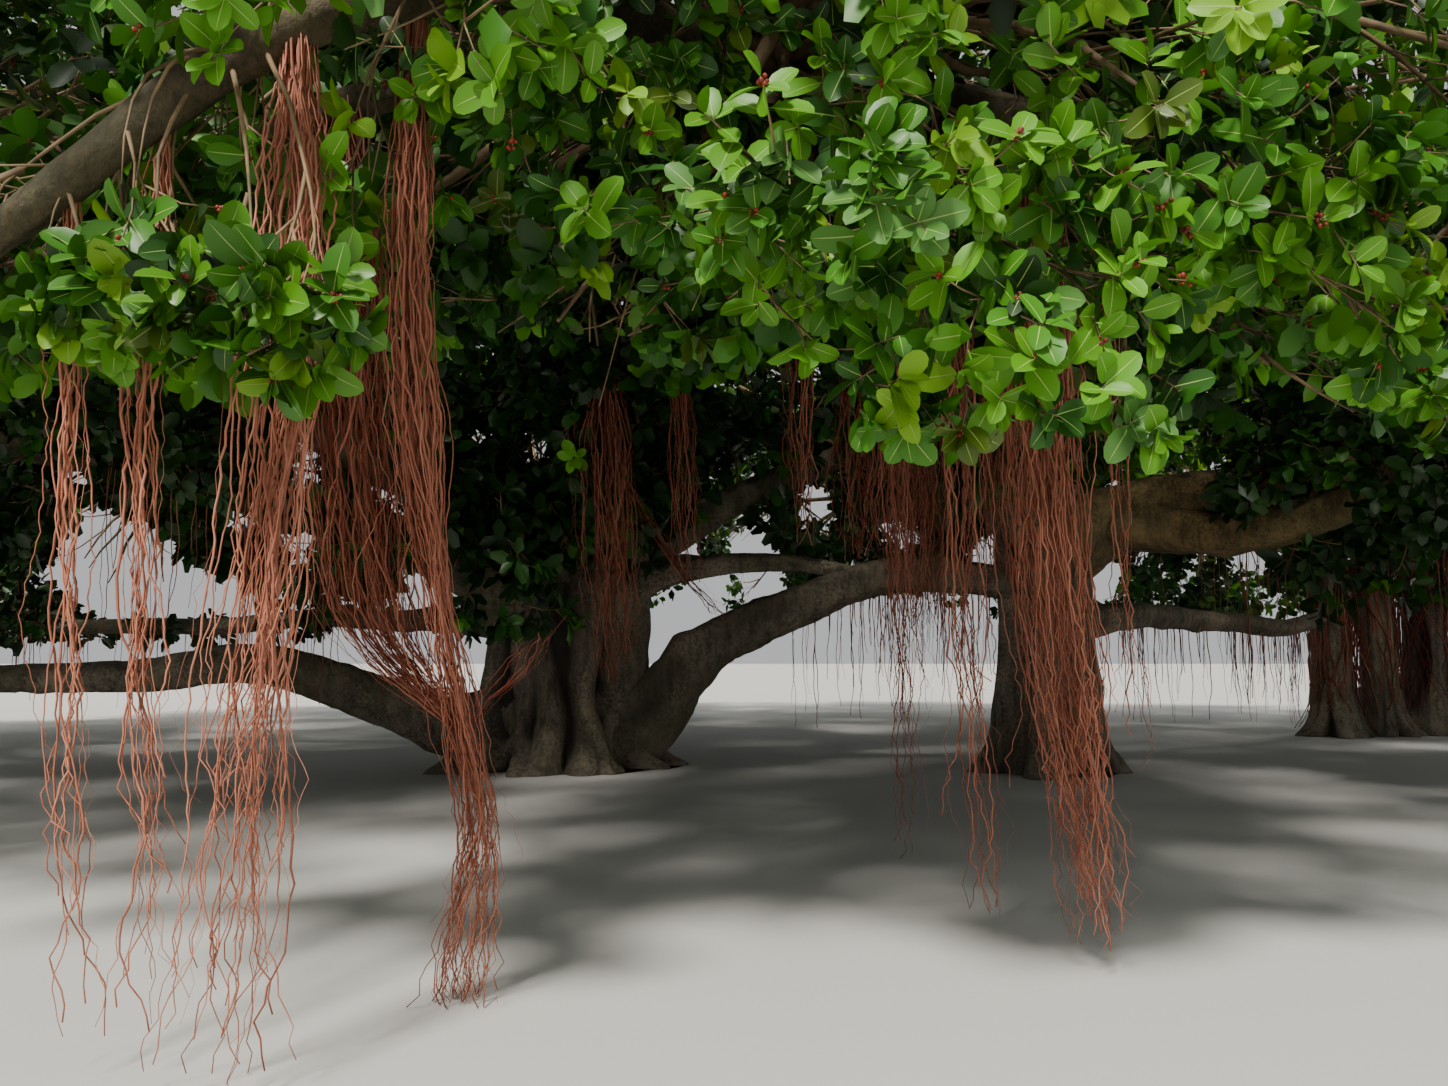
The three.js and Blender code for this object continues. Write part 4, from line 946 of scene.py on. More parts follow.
def curtain_surface(name, seed):
    """Thin roots that hang from places along a bough, alone and in small tufts"""
    bough, first, last, longest, count, shade = ROOT_CURTAINS[name]
    way, radii = BOUGHS[bough]
    rng = np.random.default_rng(seed)
    middle = smooth_way(way, 120)
    tufts = rng.uniform(first, last, max(4, count // 5))
    near = tufts[rng.integers(0, len(tufts), count)] + rng.normal(0, TUFT_SIZE, count)
    place = np.where(rng.uniform(size=count) < TUFT_SHARE, near, rng.uniform(first, last, count)).clip(0, 1)
    grid = np.linspace(0, 1, len(middle))
    start = np.stack([np.interp(place, grid, middle[:, axis]) for axis in range(3)], -1)
    start[:, 2] -= CURTAIN_SUNK * along(radii, place)
    start[:, :2] += rng.normal(0, CURTAIN_SPREAD, (count, 2))
    share = np.linspace(0, 1, CURTAIN_POINTS)
    drop = np.minimum(longest * rng.uniform(*CURTAIN_DROPS, count), start[:, 2] - CURTAIN_OFF_GROUND)
    ways = np.repeat(start[:, None], CURTAIN_POINTS, axis=1)
    ways[..., 2] -= share[None] * drop[:, None]
    run = share[None] * drop[:, None]
    phases = rng.uniform(0, 2 * np.pi, (4, count, 1))
    loose = CURTAIN_LOOSENESS * (0.4 + share[None])
    ways[..., 0] += loose * np.sin(4.3 * run + phases[0]) + 0.3 * loose * np.sin(15 * run + phases[1])
    ways[..., 1] += loose * np.sin(3.9 * run + phases[2]) + 0.3 * loose * np.sin(13 * run + phases[3])
    girth = rng.uniform(*CURTAIN_GIRTHS, count)[:, None]
    made, triangles = tubes(ways, girth * (1.05 - 0.5 * share[None]), STRAND_SIDES)
    tone = np.repeat(rng.uniform(*CURTAIN_TONES, count), CURTAIN_POINTS * STRAND_SIDES)
    return made, triangles, tone + shade


# Foliage: branches, twigs and sprays that grow on from each carrier inside the mass's own space

MIDDLES = np.array([mass[1] for mass in MASSES], float)
HALVES = np.array([mass[2] for mass in MASSES], float)
LEANS = np.array([mass[4] for mass in MASSES], float)


def depths_in(spots):
    """How far out each spot lies in every mass's space: 0 in its middle and 1 on its surface"""
    away = spots[..., None, :] - MIDDLES
    away[..., 2] -= LEANS * away[..., 1]
    return (np.abs(away / HALVES) ** MASS_ROUNDNESS).sum(-1) ** (1 / MASS_ROUNDNESS)


def inside(index, spots, limit=1.0):
    """Whether each spot lies in one mass's space, or nearest to it in the cleft between it and a neighbour"""
    depths = depths_in(spots)
    own = depths[..., index].copy()
    depths[..., index] = np.inf
    other = depths.min(axis=-1)
    in_cleft = (own < CLEFT_REACH) & (other < CLEFT_OTHER_REACH * CLEFT_REACH)
    return (other > own) & ((own < limit) | in_cleft)


def shaded(index, spots, headings):
    """Whether each spot faces into the depth of another mass"""
    depths = depths_in(spots + SHADE_DISTANCE * headings)
    depths[..., index] = np.inf
    return depths.min(axis=-1) < SHADED_DEPTH


def reach(index, directions):
    """Length of the straight way from the mass's middle to the edge of its space"""
    steps = np.arange(REACH_STEP, LONGEST_REACH, REACH_STEP)
    spots = MIDDLES[index] + directions[:, None] * steps[:, None]
    free = inside(index, spots)
    return np.where(free.all(axis=1), steps[-1], steps[free.argmin(axis=1)] - REACH_STEP)


def spread_directions(count, turn):
    """Evenly spread directions, each turned from the last by the golden angle"""
    order = np.arange(count)
    height = 1 - (2 * order + 1) / count
    flat = np.sqrt(1 - height ** 2)
    angle = order * GOLDEN_ANGLE + turn
    return np.stack([flat * np.cos(angle), flat * np.sin(angle), height], -1)


def bent_ways(starts, headings, ends, points):
    """Ways that leave their start along a heading and bend to their end: quadratic Bezier curves"""
    share = np.linspace(0, 1, points)[None, :, None]
    span = np.linalg.norm(ends - starts, axis=-1, keepdims=True)
    control = starts + 0.5 * span * headings
    return ((1 - share) ** 2 * starts[:, None] + 2 * share * (1 - share) * control[:, None]
            + share ** 2 * ends[:, None])


def read_ways(ways, rows, shares):
    """Point and heading on the chosen ways at shares of their length"""
    place = np.clip(shares, 0, 0.9999) * (ways.shape[1] - 1)
    low = place.astype(int)
    step = ways[rows, low + 1] - ways[rows, low]
    return ways[rows, low] + step * (place - low)[:, None], unit(step)


def turned_from(headings, lean, azimuth):
    """Headings leaned away by an angle, towards an azimuth round each"""
    calm = np.eye(3)[np.abs(headings).argmin(axis=-1)]
    side = unit(np.cross(headings, calm))
    up = np.cross(headings, side)
    away = np.cos(azimuth)[:, None] * side + np.sin(azimuth)[:, None] * up
    return np.cos(lean)[:, None] * headings + np.sin(lean)[:, None] * away


LEAN_CHANCE = 0.2
SHORTER_TRIALS = (1.0, 0.7, 0.45)
SHOOT_PLACES, SHOOT_TURN = (0.1, 0.9), 1.3
LENGTH_AT_START, LENGTH_LOSS, LENGTH_CHANCE = 1.2, 0.5, (0.75, 1.2)
BEARER_SHARE = 0.6


def offshoots(ways, count, first, last, lean, length, outward, points, rng, allowed):
    """Side shoots of every way between two shares of it, each turned from the last by the golden angle.
    Each keeps the longest of three trial lengths whose end is allowed, and bends away from its bearer."""
    rows = np.repeat(np.arange(len(ways)), count)
    order = np.tile(np.arange(count), len(ways))
    shares = first + (last - first) * (order + rng.uniform(*SHOOT_PLACES, len(rows))) / count
    starts, headings = read_ways(ways, rows, shares)
    leans = rng.normal(lean, LEAN_CHANCE, len(rows))
    aims = turned_from(headings, leans, order * GOLDEN_ANGLE + rows * SHOOT_TURN)
    aims = unit(aims + outward * unit(starts - starts.mean(axis=0)))
    spans = length * (LENGTH_AT_START - LENGTH_LOSS * shares) * rng.uniform(*LENGTH_CHANCE, len(rows))
    ends = starts[None] + aims[None] * (spans * np.array(SHORTER_TRIALS)[:, None])[..., None]
    fits = np.stack([allowed(spots) for spots in ends])
    chosen = fits.argmax(axis=0)
    kept = fits.any(axis=0)
    ends = ends[chosen, np.arange(len(rows))]
    leaving = unit(BEARER_SHARE * headings + aims)
    return bent_ways(starts[kept], leaving[kept], ends[kept], points), rows[kept]


LIMB_STEP = 0.15
BUNDLE_CORE = 0.8
SPOTS_AT_ONCE = 2000


@lru_cache(maxsize=None)
def limb_balls():
    """Places along every trunk, bough, hem branch and root bundle, with their radii"""
    middles, radii = [], []
    ways = list(BOUGHS.values()) + HEM_BRANCHES
    ways += [(way, [BUNDLE_CORE * wide for wide in spread]) for way, spread, *_ in ROOT_BUNDLES.values()]
    for stem in STEMS:
        top = stem["profile"][-1][0]
        foot = np.array(stem["foot"], float)
        ways.append(([(*foot, 0), (*(foot + stem["lean"]), top)], [radius for _, radius in stem["profile"]]))
    for way, radius in ways:
        count = int(way_length(way) / LIMB_STEP) + 2
        middles.append(smooth_way(way, count))
        radii.append(along(radius, np.linspace(0, 1, count)))
    return np.concatenate(middles), np.concatenate(radii)


def clear_of_limbs(spots):
    """Whether each spot is clear of every limb"""
    middles, radii = limb_balls()
    chunks = np.array_split(spots, max(1, len(spots) // SPOTS_AT_ONCE))
    gaps = [np.linalg.norm(chunk[:, None] - middles, axis=-1) - radii for chunk in chunks]
    return np.concatenate([gap.min(axis=1) for gap in gaps]) > LIMB_CLEARANCE


# Channels toward the camera's place that stay open in front of what hangs in plain sight: the low branch from
# its LOW_BRANCH_SEEN place on, and bundles from a place on, each place counted in steps along its way
LOW_BRANCH_STEPS, LOW_BRANCH_SEEN, LOW_BRANCH_CHANNEL = 80, 61, 0.21
BUNDLES_SEEN = (("roots_front_c", 0), ("roots_front_d", 0), ("roots_front_l", 15))
BUNDLE_STEPS, BUNDLE_MARGIN, BUNDLE_SHARE = 40, 0.05, 1.1
CHANNEL_START, CHANNEL_END, CHANNEL_STEPS = 0.1, 1.5, 14
REACHING_IN = 0.03


def low_branch():
    """The low branch's way in even steps"""
    return smooth_way(HEM_BRANCHES[0][0], LOW_BRANCH_STEPS)


@lru_cache(maxsize=None)
def open_channel():
    """Places in the channels, with the radius at each"""
    branch = low_branch()[LOW_BRANCH_SEEN:]
    seen = [(branch, np.full(len(branch), LOW_BRANCH_CHANNEL))]
    for name, first in BUNDLES_SEEN:
        way, spread = ROOT_BUNDLES[name][:2]
        wide = BUNDLE_MARGIN + BUNDLE_SHARE * along(spread, np.linspace(0, 1, BUNDLE_STEPS))
        seen.append((smooth_way(way, BUNDLE_STEPS)[first:], wide[first:]))
    middles, radii = [], []
    for places, wide in seen:
        toward = unit(np.array(CAMERA_PLACE) - places)
        steps = np.linspace(CHANNEL_START, CHANNEL_END, CHANNEL_STEPS)[:, None]
        middles.append((places[:, None] + toward[:, None] * steps).reshape(-1, 3))
        radii.append(np.repeat(wide, CHANNEL_STEPS))
    return np.concatenate(middles), np.concatenate(radii)


def out_of_channel(spots, rng):
    """Whether each spot leaves the channels open: a few sprays still reach in"""
    middles, radii = open_channel()
    gap = (np.linalg.norm(spots[:, None] - middles, axis=-1) - radii).min(axis=1)
    return (gap > 0) | (rng.uniform(size=len(spots)) < REACHING_IN)


def from_camera(spots):
    """How far beyond the camera's place spots are, and how far sideways and up for each metre of that"""
    away = np.maximum(spots[:, 1] - CAMERA_PLACE[1], NEAREST_SEEN)
    return away, (spots[:, 0] - CAMERA_PLACE[0]) / away, (spots[:, 2] - CAMERA_PLACE[2]) / away


def above_rim_line(spots):
    """Whether each spot is above the underside of the near rim; deeper in, it may hang a little lower"""
    away, across, _ = from_camera(spots)
    lower = np.where(away > FREE_HANG_DEPTH, FREE_HANG, 0)
    line = np.interp(across, *np.array(RIM_LINE).T) - lower + RIM_MARGIN
    notched = (across > DEEP_NOTCH[0]) & (across < DEEP_NOTCH[1])
    behind = away > np.where(notched, NOTCH_DEPTH, RIM_DEPTH)
    return behind | (spots[:, 2] > CAMERA_PLACE[2] + line * away)


@lru_cache(maxsize=None)
def sky_gaps():
    """Middles and half sizes of all gaps: the listed ones, and small ones in two steps that never meet.
    Each step goes round and round a span: first place + span * (step * number, without its whole part)."""
    order = np.arange(SMALL_GAPS)
    across, rise = (first + span * (step * order % 1) for first, span, step in (GAPS_ACROSS, GAPS_UP))
    size = np.full(SMALL_GAPS, SMALL_GAP_SIZE)
    return np.split(np.concatenate([SKY_GAPS, np.stack([across, rise, size, size], -1)]), 2, axis=1)


def out_of_sky_gap(spots):
    """Whether each spot leaves the gaps far in the crown open, which are ellipses from the camera's place"""
    away, across, rise = from_camera(spots)
    middle, half = sky_gaps()
    apart = np.linalg.norm((np.stack([across, rise], -1)[:, None] - middle) / half, axis=-1).min(axis=1)
    return (apart > 1) | (away < SKY_GAP_DEPTH)


def carrier_end(name):
    """Last point, heading and radius of what carries a mass"""
    if name in BOUGHS:
        way, radii = BOUGHS[name]
        curve = smooth_way(way, 60)
        return curve[-1], unit(curve[-1] - curve[-2]), radii[-1]
    stem = next(stem for stem in STEMS if stem["name"] == name)
    top = stem["profile"][-1]
    end = np.array([stem["foot"][0] + stem["lean"][0], stem["foot"][1] + stem["lean"][1], top[0]])
    return end, np.array([0, 0, 1.0]), top[1]


AXIS_OWN, AXIS_OUTWARD, AXIS_RISE, AXIS_CHANCE = 0.55, 0.4, 0.3, 0.26
SHADE_GAIN, LIT_DEPTH = 2.2, 0.86


def spray_axes(shoots, outward, rng):
    """Axis of the leaves round each spray twig: its own heading, drawn outward and up, and a little chance"""
    own = unit(shoots[:, -1] - shoots[:, 0])
    chance = rng.normal(0, AXIS_CHANCE, own.shape)
    return unit(AXIS_OWN * own + AXIS_OUTWARD * outward + [0, 0, AXIS_RISE] + chance)


def light_on(tips, outward, depths):
    """Light that reaches each spray, at most 1: it faces up, or away from the middle of the whole crown,
    and it is not far inside its mass"""
    from_centre = unit(tips[:, :2] - CROWN_CENTRE)
    open_side = np.maximum(outward[:, 2], (outward[:, :2] * from_centre).sum(axis=1))
    return open_side - SHADE_GAIN * np.clip(LIT_DEPTH - depths, 0, 1)


# Branches that end in the hem's sprays: they start this far up in the mass, or this many steps back on the
# part of the low branch between two of its places
HANG_LENGTH, HANG_LIFT, HANG_BEND = 1.7, (0, 0.3, 0.55), (0, 0, 0.6)
HANG_BEARING, HANG_STEPS_BACK, BOUGH_POINTS = slice(20, -12), 8, 7


def hanging_branches():
    """Branches that end in the sprays below the hem, from the low branch or from farther up in the mass"""
    middle = MIDDLES[0]
    hang = np.array([end for end, _ in HEM_SPRAYS])
    roots = hang + unit(middle - hang) * HANG_LENGTH + HANG_LIFT
    low = low_branch()[HANG_BEARING]
    nearest = np.linalg.norm(hang[:, None] - low, axis=-1).argmin(axis=1)
    west = hang[:, 0] < LOW_BRANCH_EAST
    roots[west] = low[np.maximum(nearest[west] - HANG_STEPS_BACK, 0)]
    over = unit(hang - roots + HANG_BEND)
    return bent_ways(roots, over, hang, BOUGH_POINTS)


# Offshoots: how many a bearer has, where along it they start and end, their lean, length and outward pull,
# and the points of each
BOUGH_SHOOT_RULE = {"lean": 1.25, "outward": 0.0, "points": 6}
BOUGH_WOOD_RULE = {
    "count": 5, "first": 0.3, "last": 1.0, "lean": 0.8, "length": 0.6, "outward": 0.0, "points": 3}
BOUGH_SPRAY_RULE = {
    "count": 4, "first": 0.3, "last": 1.0, "lean": 0.8, "length": 0.36, "outward": 0.0, "points": 3}
WOOD_RULE = {"first": 0.36, "last": 0.98, "lean": 0.85, "length": 1.35, "outward": 0.35}
LOW_WOOD_RULE = {
    "count": 4, "first": 0.5, "last": 1.0, "lean": 0.8, "length": 0.55, "outward": 0.1, "points": 4}
SPRAY_RULE = {"first": 0.25, "last": 1.0, "lean": 0.8, "length": 0.42, "outward": 0.25, "points": 3}

# Limbs of a mass: how many branches it has, twigs on each, spray twigs on each of those, and a twig's points
NEAR_LIMBS, FAR_LIMBS = (54, 12, 8, 4), (34, 9, 5, 3)
BRANCH_SHARES, BRANCH_RISE, BRANCH_START, BRANCH_STARTS_BACK = (0.78, 0.96), 0.35, 0.04, (-0.5, 0.2)
STEM_LEAD, STEM_SUNK, STEM_POINTS = 0.35, 0.12, 14
BRANCH_THICKNESS, HANGING_THICKNESS, BOUGH_SHOOT_THICKNESS = 0.062, 0.012, 0.022
HERO, HERO_LEAF_SCALE = "foliage_south", 1.3
HEM_TOP, HEM_NORTH = 4.6, -9.5
BOUGH_SHOOT_LIGHT = -1.0


@lru_cache(maxsize=None)
def grown_bough(name):
    """Leafy shoots that leave a bough near the trunk, with their twigs and spray twigs"""
    first, last, longest, count = BOUGH_SHOOTS[name]
    rng = np.random.default_rng(SHOOT_SEED + list(BOUGH_SHOOTS).index(name))
    bearing = smooth_way(BOUGHS[name][0], 40)[None]

    def allowed(spots):
        return clear_of_limbs(spots) & (spots[:, 2] > LOWEST_SHOOT) & out_of_sky_gap(spots)

    made = {"rng": rng, "allowed": allowed}
    shoots, _ = offshoots(bearing, count, first, last, length=longest, **BOUGH_SHOOT_RULE, **made)
    wood, _ = offshoots(shoots, **BOUGH_WOOD_RULE, **made)
    sprays, _ = offshoots(wood, **BOUGH_SPRAY_RULE, **made)
    outward = unit(sprays[:, -1] - bearing[0].mean(axis=0))
    return {
        "name": name, "boughs": shoots, "wood": wood, "shoots": sprays,
        "axes": spray_axes(sprays, outward, rng), "light": np.full(len(sprays), BOUGH_SHOOT_LIGHT),
        "thick": np.full(len(shoots), BOUGH_SHOOT_THICKNESS),
        "scale": sizes().far_leaf_scale, "seed": SHOOT_LEAF_SEED + count}


@lru_cache(maxsize=None)
def grown_mass(index):
    """Everything that grows in one mass: stem, branches, twigs, and spray twigs with their headings"""
    name, _, _, carrier, _ = MASSES[index]
    hero = name == HERO
    rng = np.random.default_rng(MASS_SEED + index)
    middle = MIDDLES[index]
    branches, twigs, sprays, twig_points = NEAR_LIMBS if hero else FAR_LIMBS
    end, heading, girth = carrier_end(carrier)
    lead = end + STEM_LEAD * np.linalg.norm(middle - end) * heading
    stem = smooth_way([end - STEM_SUNK * heading, end, lead, middle], STEM_POINTS)
    directions = spread_directions(branches, index + 1)
    lengths = reach(index, directions) * rng.uniform(*BRANCH_SHARES, branches)
    ends = middle + directions * lengths[:, None]
    back = unit(middle - lead) * rng.uniform(*BRANCH_STARTS_BACK, branches)[:, None]
    starts = middle + directions * BRANCH_START + back
    boughs = bent_ways(starts, unit(directions + [0, 0, BRANCH_RISE]), ends, BOUGH_POINTS)

    def allowed(spots):
        within = (spots[..., 1] < NORTHMOST_TWIG) & (spots[..., 2] < HIGHEST_TWIG)
        return inside(index, spots, LEAF_TIP_SHARE) & within

    if hero:
        hang = np.array([end for end, _ in HEM_SPRAYS])
        wide = np.array([spread for _, spread in HEM_SPRAYS])

        def allowed(spots):
            near = (np.linalg.norm(spots[:, None] - hang, axis=-1) < wide).any(axis=1)
            return inside(index, spots, LEAF_TIP_SHARE) | near

    made = {"rng": rng, "allowed": allowed}
    wood, _ = offshoots(boughs, twigs, points=twig_points, **WOOD_RULE, **made)
    if hero:
        hanging = hanging_branches()
        low_wood, _ = offshoots(hanging, **LOW_WOOD_RULE, **made)
        boughs = np.concatenate([boughs, hanging])
        wood = np.concatenate([wood, low_wood])
        to_covering = np.linalg.norm(wood[:, -1:] - hang[:COVERING_SPRAYS], axis=-1)
        covering = (to_covering < wide[:COVERING_SPRAYS]).any(axis=1)
        wood = wood[covering | (out_of_channel(wood[:, 2], rng) & out_of_channel(wood[:, -1], rng))]
    shoots, bearers = offshoots(wood, sprays, **SPRAY_RULE, **made)
    tips = shoots[:, -1]
    outward = unit(tips - middle)
    open_to_light = clear_of_limbs(tips) & ~shaded(index, tips, outward)
    if hero:
        open_to_light |= (tips[:, 2] < HEM_TOP) & (tips[:, 1] < HEM_NORTH) & clear_of_limbs(tips)
        gaps = np.linalg.norm(tips[:, None] - hang, axis=-1) - wide
        open_to_light &= out_of_channel(tips, rng) | (gaps[:, :COVERING_SPRAYS] < 0).any(axis=1)
    rimmed = above_rim_line(tips)
    if hero:
        rimmed |= (gaps < 0).any(axis=1)
    depths = depths_in(tips)[:, index]
    open_to_light &= rimmed & (depths > INNER_DEPTH) & out_of_sky_gap(tips)
    shoots, outward, tips = shoots[open_to_light], outward[open_to_light], tips[open_to_light]
    wood = wood[np.unique(bearers[open_to_light])]
    return {
        "name": name, "stem": stem, "girth": girth, "boughs": boughs, "wood": wood, "shoots": shoots,
        "axes": spray_axes(shoots, outward, rng), "light": light_on(tips, outward, depths[open_to_light]),
        "thick": np.where(np.arange(len(boughs)) < branches, BRANCH_THICKNESS, HANGING_THICKNESS),
        "scale": HERO_LEAF_SCALE if hero else sizes().far_leaf_scale, "seed": MASS_LEAF_SEED + index}


SEEN_ACROSS, SEEN_UP = 0.73, 0.66
NEAR_LEAVES, MIDDLE_LEAVES = 5.5, 11.5


def closeness(spots):
    """How fully leaves are drawn: 2 close to the photograph's place, 1 farther in and 0 elsewhere"""
    away, across, rise = from_camera(spots)
    seen = (np.abs(across) < SEEN_ACROSS) & (rise < SEEN_UP)
    return np.where(seen & (away < NEAR_LEAVES), 2, np.where(seen & (away < MIDDLE_LEAVES), 1, 0))


# Leaves as points of (side, along, up), with the whole width and the whole length as one.
# Each is given by its half width at stations along it, its ends, how far its edges rise for each half width,
# and how far it bends down with the square of the length. The midrib is a strip just above the blade.
FAR_LEAF = [(0, 0.08, 0), (0.46, 0.52, 0.07), (0.2, 0.97, -0.05), (-0.2, 0.97, -0.05), (-0.46, 0.52, 0.07)]
MIDDLE_STATIONS, MIDDLE_HALVES = (0.26, 0.56, 0.86), (0.37, 0.5, 0.36)
MIDDLE_ENDS, MIDDLE_FOLD, MIDDLE_BEND = [(0, 0.07, 0), (0, 0.62, -0.05), (0, 1.0, -0.15)], 0.16, 0.14
MIDDLE_OUTLINE = [6, 0, 1, 2, 8, 5, 4, 3, 6]
NEAR_STATIONS, NEAR_HALVES = (0.12, 0.3, 0.54, 0.78, 0.94), (0.18, 0.4, 0.5, 0.44, 0.24)
NEAR_ENDS, NEAR_FOLD, NEAR_BEND = [(0, 0.07, 0), (0, 1.0, -0.17)], 0.17, 0.16
RIB_HALVES, RIB_LIFT = (0.022, 0.022, 0.018, 0.013, 0.005), 0.007


def row(side, along_it, up):
    """A row of points of a leaf"""
    return np.stack([side, along_it, up], -1)


def band_triangles(first, second, count):
    """Triangles between two rows of a leaf's points, each row given by the number of its first point"""
    order = np.arange(count - 1)
    return np.concatenate([
        np.stack([first + order, second + order, second + order + 1], -1),
        np.stack([first + order, second + order + 1, first + order + 1], -1)])


def far_leaf():
    """A leaf of five points: three triangles in a shallow channel"""
    return np.array(FAR_LEAF), np.array([[0, 1, 2], [0, 2, 3], [0, 3, 4]]), 3


def middle_leaf():
    """A leaf of nine points folded along its midrib: a fan round a point on it"""
    station, half = np.array(MIDDLE_STATIONS), np.array(MIDDLE_HALVES)
    right = row(half, station, -MIDDLE_BEND * station ** 2 + MIDDLE_FOLD * half)
    left = right * [-1, 1, 1]
    faces = np.array([[7, start, end] for start, end in zip(MIDDLE_OUTLINE, MIDDLE_OUTLINE[1:])])
    return np.concatenate([right, left, MIDDLE_ENDS]), faces, len(faces)


def near_leaf():
    """A leaf on a grid of five stations and three rows, closed at both ends, and the strip of its midrib"""
    station, half = np.array(NEAR_STATIONS), np.array(NEAR_HALVES)
    count = len(station)
    droop = -NEAR_BEND * station ** 2
    edge = droop + NEAR_FOLD * half
    rows = [row(-half, station, edge), row(0 * station, station, droop), row(half, station, edge)]
    blade = np.concatenate([*rows, NEAR_ENDS])
    base, tip = 3 * count, 3 * count + 1
    ends = [[base, count, 0], [base, 2 * count, count],
            [count - 1, 2 * count - 1, tip], [2 * count - 1, 3 * count - 1, tip]]
    faces = np.concatenate([band_triangles(0, count, count), band_triangles(count, 2 * count, count), ends])
    rib = np.concatenate([[0], station[1:]])
    lift = -NEAR_BEND * rib ** 2 + RIB_LIFT
    width = np.array(RIB_HALVES)
    strip = np.concatenate([row(-width, rib, lift), row(width, rib, lift)])
    strip_faces = band_triangles(0, count, count) + len(blade)
    return np.concatenate([blade, strip]), np.concatenate([faces, strip_faces]), len(faces)


# Leaves round the end of a twig: how far back from the end the outer ones may stand, how wide they open in
# degrees and how much less the inner ones do, how much they droop and face up, and their sizes
LEAVES_BACK, TWIG_TURN = 0.6, 0.9
LEAF_OPENING, LEAF_CLOSING, OPENING_CHANCE = 76, 40, 15
LEAF_DROOP, HEADING_CHANCE = 0.22, 0.12
FACE_RISE, FACE_CHANCE = 0.35, 0.3
OUTER_SIZE, SIZE_LOSS, SIZE_CHANCE = 1.12, 0.42, (0.85, 1.12)


def leaf_places(grown, chosen, count, rng):
    """Leaves round the end of each chosen spray twig: base, heading, face and size of every leaf.
    The outer ones open wide and the inner ones are small and stand up; all droop a little."""
    shoots, axes = grown["shoots"][chosen], grown["axes"][chosen]
    rows = np.repeat(np.arange(len(shoots)), count)
    order = np.tile(np.arange(count), len(shoots))
    inner = order / max(1, count - 1)
    base, _ = read_ways(shoots, rows, 1 - LEAVES_BACK * (1 - inner) * rng.uniform(0.1, 1, len(rows)))
    lean = np.radians(LEAF_OPENING - LEAF_CLOSING * inner + rng.normal(0, OPENING_CHANCE, len(rows)))
    heading = turned_from(axes[rows], lean, order * GOLDEN_ANGLE + rows * TWIG_TURN)
    heading = unit(heading + [0, 0, -LEAF_DROOP] + rng.normal(0, HEADING_CHANCE, heading.shape))
    face = axes[rows] + [0, 0, FACE_RISE] + rng.normal(0, FACE_CHANCE, heading.shape)
    side = unit(np.cross(heading, face))
    up = np.cross(side, heading)
    size = (OUTER_SIZE - SIZE_LOSS * inner) * rng.uniform(*SIZE_CHANCE, len(rows))
    return base, heading, side, up, size, rows


def leaves_surface(places, template, faces, length, width):
    """Copies of one leaf: base + size * (side, along, up) for all of its points at once"""
    base, heading, side, up, size, _ = places
    scale = (size * length)[:, None, None]
    points = base[:, None] + scale * (
        width * template[None, :, :1] * side[:, None] + template[None, :, 1:2] * heading[:, None]
        + template[None, :, 2:] * up[:, None])
    shift = (np.arange(len(base)) * len(template))[:, None, None]
    return points.reshape(-1, 3), (faces[None] + shift).reshape(-1, 3)


LIGHT_MIDDLE, LIGHT_CHANCE = 0.3, 0.3


def dealt_colours(grown, rng):
    """The colour number of every spray: by chance, with light colours where more light reaches it"""
    shares = np.array([share for _, _, share, _ in LEAF_COLOURS])
    gains = np.array([gain for _, _, _, gain in LEAF_COLOURS])
    bright = grown["light"] - LIGHT_MIDDLE + rng.normal(0, LIGHT_CHANCE, len(grown["light"]))
    weights = shares * np.exp(gains * bright[:, None])
    steps = np.cumsum(weights / weights.sum(axis=1, keepdims=True), axis=1)
    return (rng.uniform(size=(len(steps), 1)) > steps).sum(axis=1).clip(0, len(shares) - 1)


def leaf_materials():
    """One material for each leaf colour, and the last one for the pale stalk and midrib"""
    blades = [leaf_finish(f"leaf_{name}", colour) for name, colour, *_ in LEAF_COLOURS]
    return blades + [leaf_finish("leaf_midrib", tuple(colours().midrib))]


# Figs: the share of near and of other sprays that bear them, how many, how much larger the far ones are, and
# the spans of their places along the twig, their sizes, their leans and their distances from it
NEAR_BEARING, FAR_BEARING = 0.28, 0.02
FIGS_OF_A_SPRAY, FAR_FIG_SCALE = 7, 1.7
FIG_PLACES, FIG_SIZES, FIG_LEANS, FIG_DISTANCES = (0.88, 1.0), (0.75, 1.2), (0.5, 1.6), (1.1, 2.4)
BALL_POINTS = np.array([[1, 0, 0], [-1, 0, 0], [0, 1, 0], [0, -1, 0], [0, 0, 1], [0, 0, -1]], float)
BALL_FACES = np.array([
    [0, 2, 4], [2, 1, 4], [1, 3, 4], [3, 0, 4], [2, 0, 5], [1, 2, 5], [3, 1, 5], [0, 3, 5]])


def round_fig():
    """A ball of 32 faces: each face of an eight-sided ball split in four and pushed out to the round"""
    corners = BALL_POINTS[BALL_FACES]
    halves = unit((corners + np.roll(corners, -1, axis=1)) / 2)
    a, b, c = (corners[:, place] for place in range(3))
    ab, bc, ca = (halves[:, place] for place in range(3))
    faces = np.stack([[a, ab, ca], [b, bc, ab], [c, ca, bc], [ab, bc, ca]])
    flat = np.moveaxis(faces, 1, 2).reshape(-1, 3)
    points, numbers = np.unique(flat.round(6), axis=0, return_inverse=True)
    return points, numbers.reshape(-1, 3)


